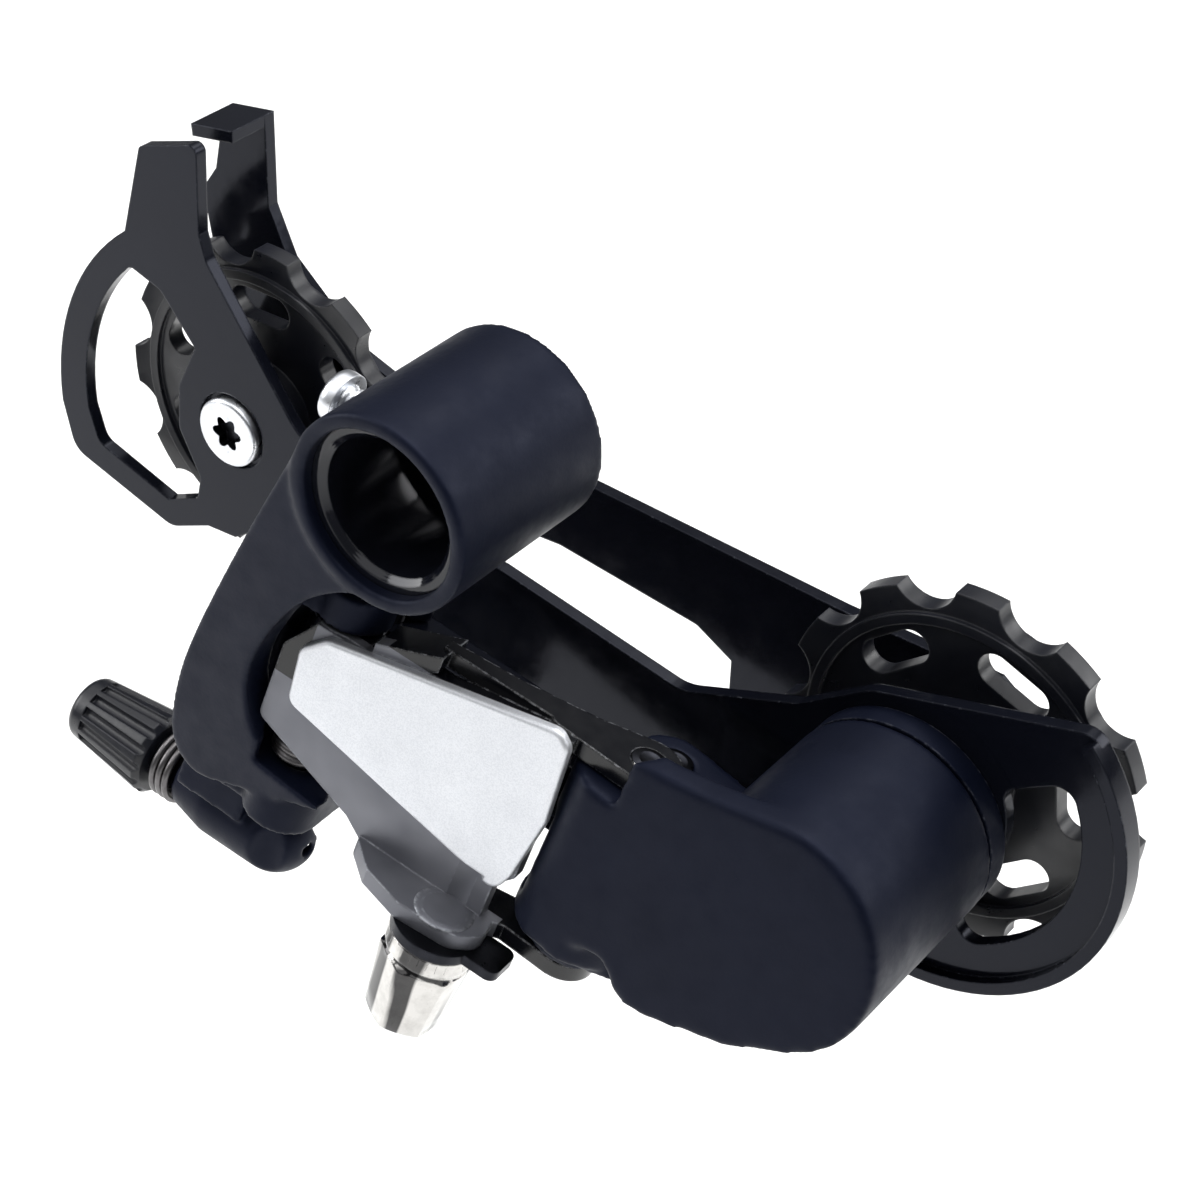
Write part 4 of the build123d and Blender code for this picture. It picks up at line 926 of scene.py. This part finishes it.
class DERAILLEUR_OT_studio(bpy.types.Operator):
    """Floor, soft lights and camera"""
    bl_idname = "derailleur.studio"
    bl_label = "Studio"

    def execute(self, context):
        studio = context.scene.derailleur_studio
        low, high = CAD_BOX
        middle = (low + high) / 2
        # the cage swings below the part, and the floor lies under its lowest reach
        pivot = joint_axis("cage_pivot")[0]
        swing = reach_of("cage_outer_plate", pivot, Vector((0, 1, 0)))[2]
        add_floor(pivot.z - swing - FLOOR_CLEARANCE, studio.floor_colour)
        sky = bpy.data.lights.new("overhead-sky", "SUN")
        sky.energy = studio.sky_strength
        # spread over most of the sky, so that it casts no hard shadow
        sky.angle = math.radians(100)
        overhead = bpy.data.objects.new("overhead-sky", sky)
        context.scene.collection.objects.link(overhead)
        add_softbox("top-softbox", middle, Vector((0.10, 0.22, 0.80)), 0.75, studio.top_power)
        add_softbox("side-softbox", middle, Vector((-0.62, -0.30, 0.34)), 0.45, studio.side_power)
        add_softbox("back-softbox", middle, Vector((0.55, 0.55, 0.35)), 0.45, studio.back_power)
        world = bpy.data.worlds.new("Pale studio room")
        world.use_nodes = True
        background = world.node_tree.nodes["Background"]
        background.inputs["Color"].default_value = solid(linear("#f2f4f8"))
        background.inputs["Strength"].default_value = studio.room_strength
        context.scene.world = world
        context.scene.view_settings.view_transform = "Standard"
        level = math.cos(studio.elevation)
        back = Vector((math.sin(studio.azimuth) * level, -math.cos(studio.azimuth) * level,
                       math.sin(studio.elevation)))
        right = Vector((math.cos(studio.azimuth), math.sin(studio.azimuth), 0))
        up = back.cross(right)
        lens = bpy.data.cameras.new("Studio camera")
        lens.lens = studio.lens
        lens.clip_start = 0.01
        camera = bpy.data.objects.new("studio-camera", lens)
        context.scene.collection.objects.link(camera)
        place = middle + back * studio.distance + right * studio.aside + up * studio.raised
        camera.matrix_world = Matrix.Translation(place) @ Matrix((right, up, back)).transposed().to_4x4()
        context.scene.camera = camera
        return {"FINISHED"}


def add_floor(height, colour):
    """A broad sheet of paper under the part."""
    body = bmesh.new()
    bmesh.ops.create_grid(body, x_segments=8, y_segments=8, size=FLOOR_HALF_WIDTH)
    mesh = bpy.data.meshes.new("studio-floor")
    body.to_mesh(mesh)
    body.free()
    mesh.transform(Matrix.Translation((0, 0, height)))
    mesh.materials.append(make_paper(colour))
    floor = bpy.data.objects.new("studio-floor", mesh)
    bpy.context.scene.collection.objects.link(floor)


def add_softbox(name, target, offset, size, power):
    """A square soft light that faces the part."""
    light = bpy.data.lights.new(name, "AREA")
    light.shape = "SQUARE"
    light.size = size
    light.energy = power
    lamp = bpy.data.objects.new(name, light)
    bpy.context.scene.collection.objects.link(lamp)
    lamp.matrix_world = on_axis(target + offset, offset)


STEPS = (
    DERAILLEUR_OT_bracket, DERAILLEUR_OT_knuckle, DERAILLEUR_OT_links, DERAILLEUR_OT_cage,
    DERAILLEUR_OT_pulleys, DERAILLEUR_OT_screws, DERAILLEUR_OT_pins, DERAILLEUR_OT_clamp,
    DERAILLEUR_OT_adjuster, DERAILLEUR_OT_springs, DERAILLEUR_OT_studio,
)


class DERAILLEUR_PT_panel(bpy.types.Panel):
    """Lists the pieces and their sizes and colours"""
    bl_idname = "DERAILLEUR_PT_panel"
    bl_label = "Rear Derailleur"
    bl_space_type = "VIEW_3D"
    bl_region_type = "UI"
    bl_category = "Derailleur"

    def draw(self, context):
        for step in STEPS:
            self.layout.operator(step.bl_idname)
        for group in GROUPS.values():
            settings = getattr(context.scene, group)
            for key in settings.__annotations__:
                self.layout.prop(settings, key)


GROUPS = {
    DerailleurFinishes: "derailleur_finishes",
    DerailleurPieces: "derailleur_pieces",
    DerailleurStudio: "derailleur_studio",
}


def register():
    for item in (*GROUPS, *STEPS, DERAILLEUR_PT_panel):
        bpy.utils.register_class(item)
    for group, name in GROUPS.items():
        setattr(bpy.types.Scene, name, PointerProperty(type=group))


def unregister():
    for name in GROUPS.values():
        delattr(bpy.types.Scene, name)
    for item in reversed((*GROUPS, *STEPS, DERAILLEUR_PT_panel)):
        bpy.utils.unregister_class(item)


def main():
    register()
    for step in STEPS:
        operator = getattr(bpy.ops.derailleur, step.bl_idname.split(".")[1])
        if operator() != {"FINISHED"}:
            raise RuntimeError(step.bl_label + " wasn't finished")


if __name__ == "__main__":
    main()
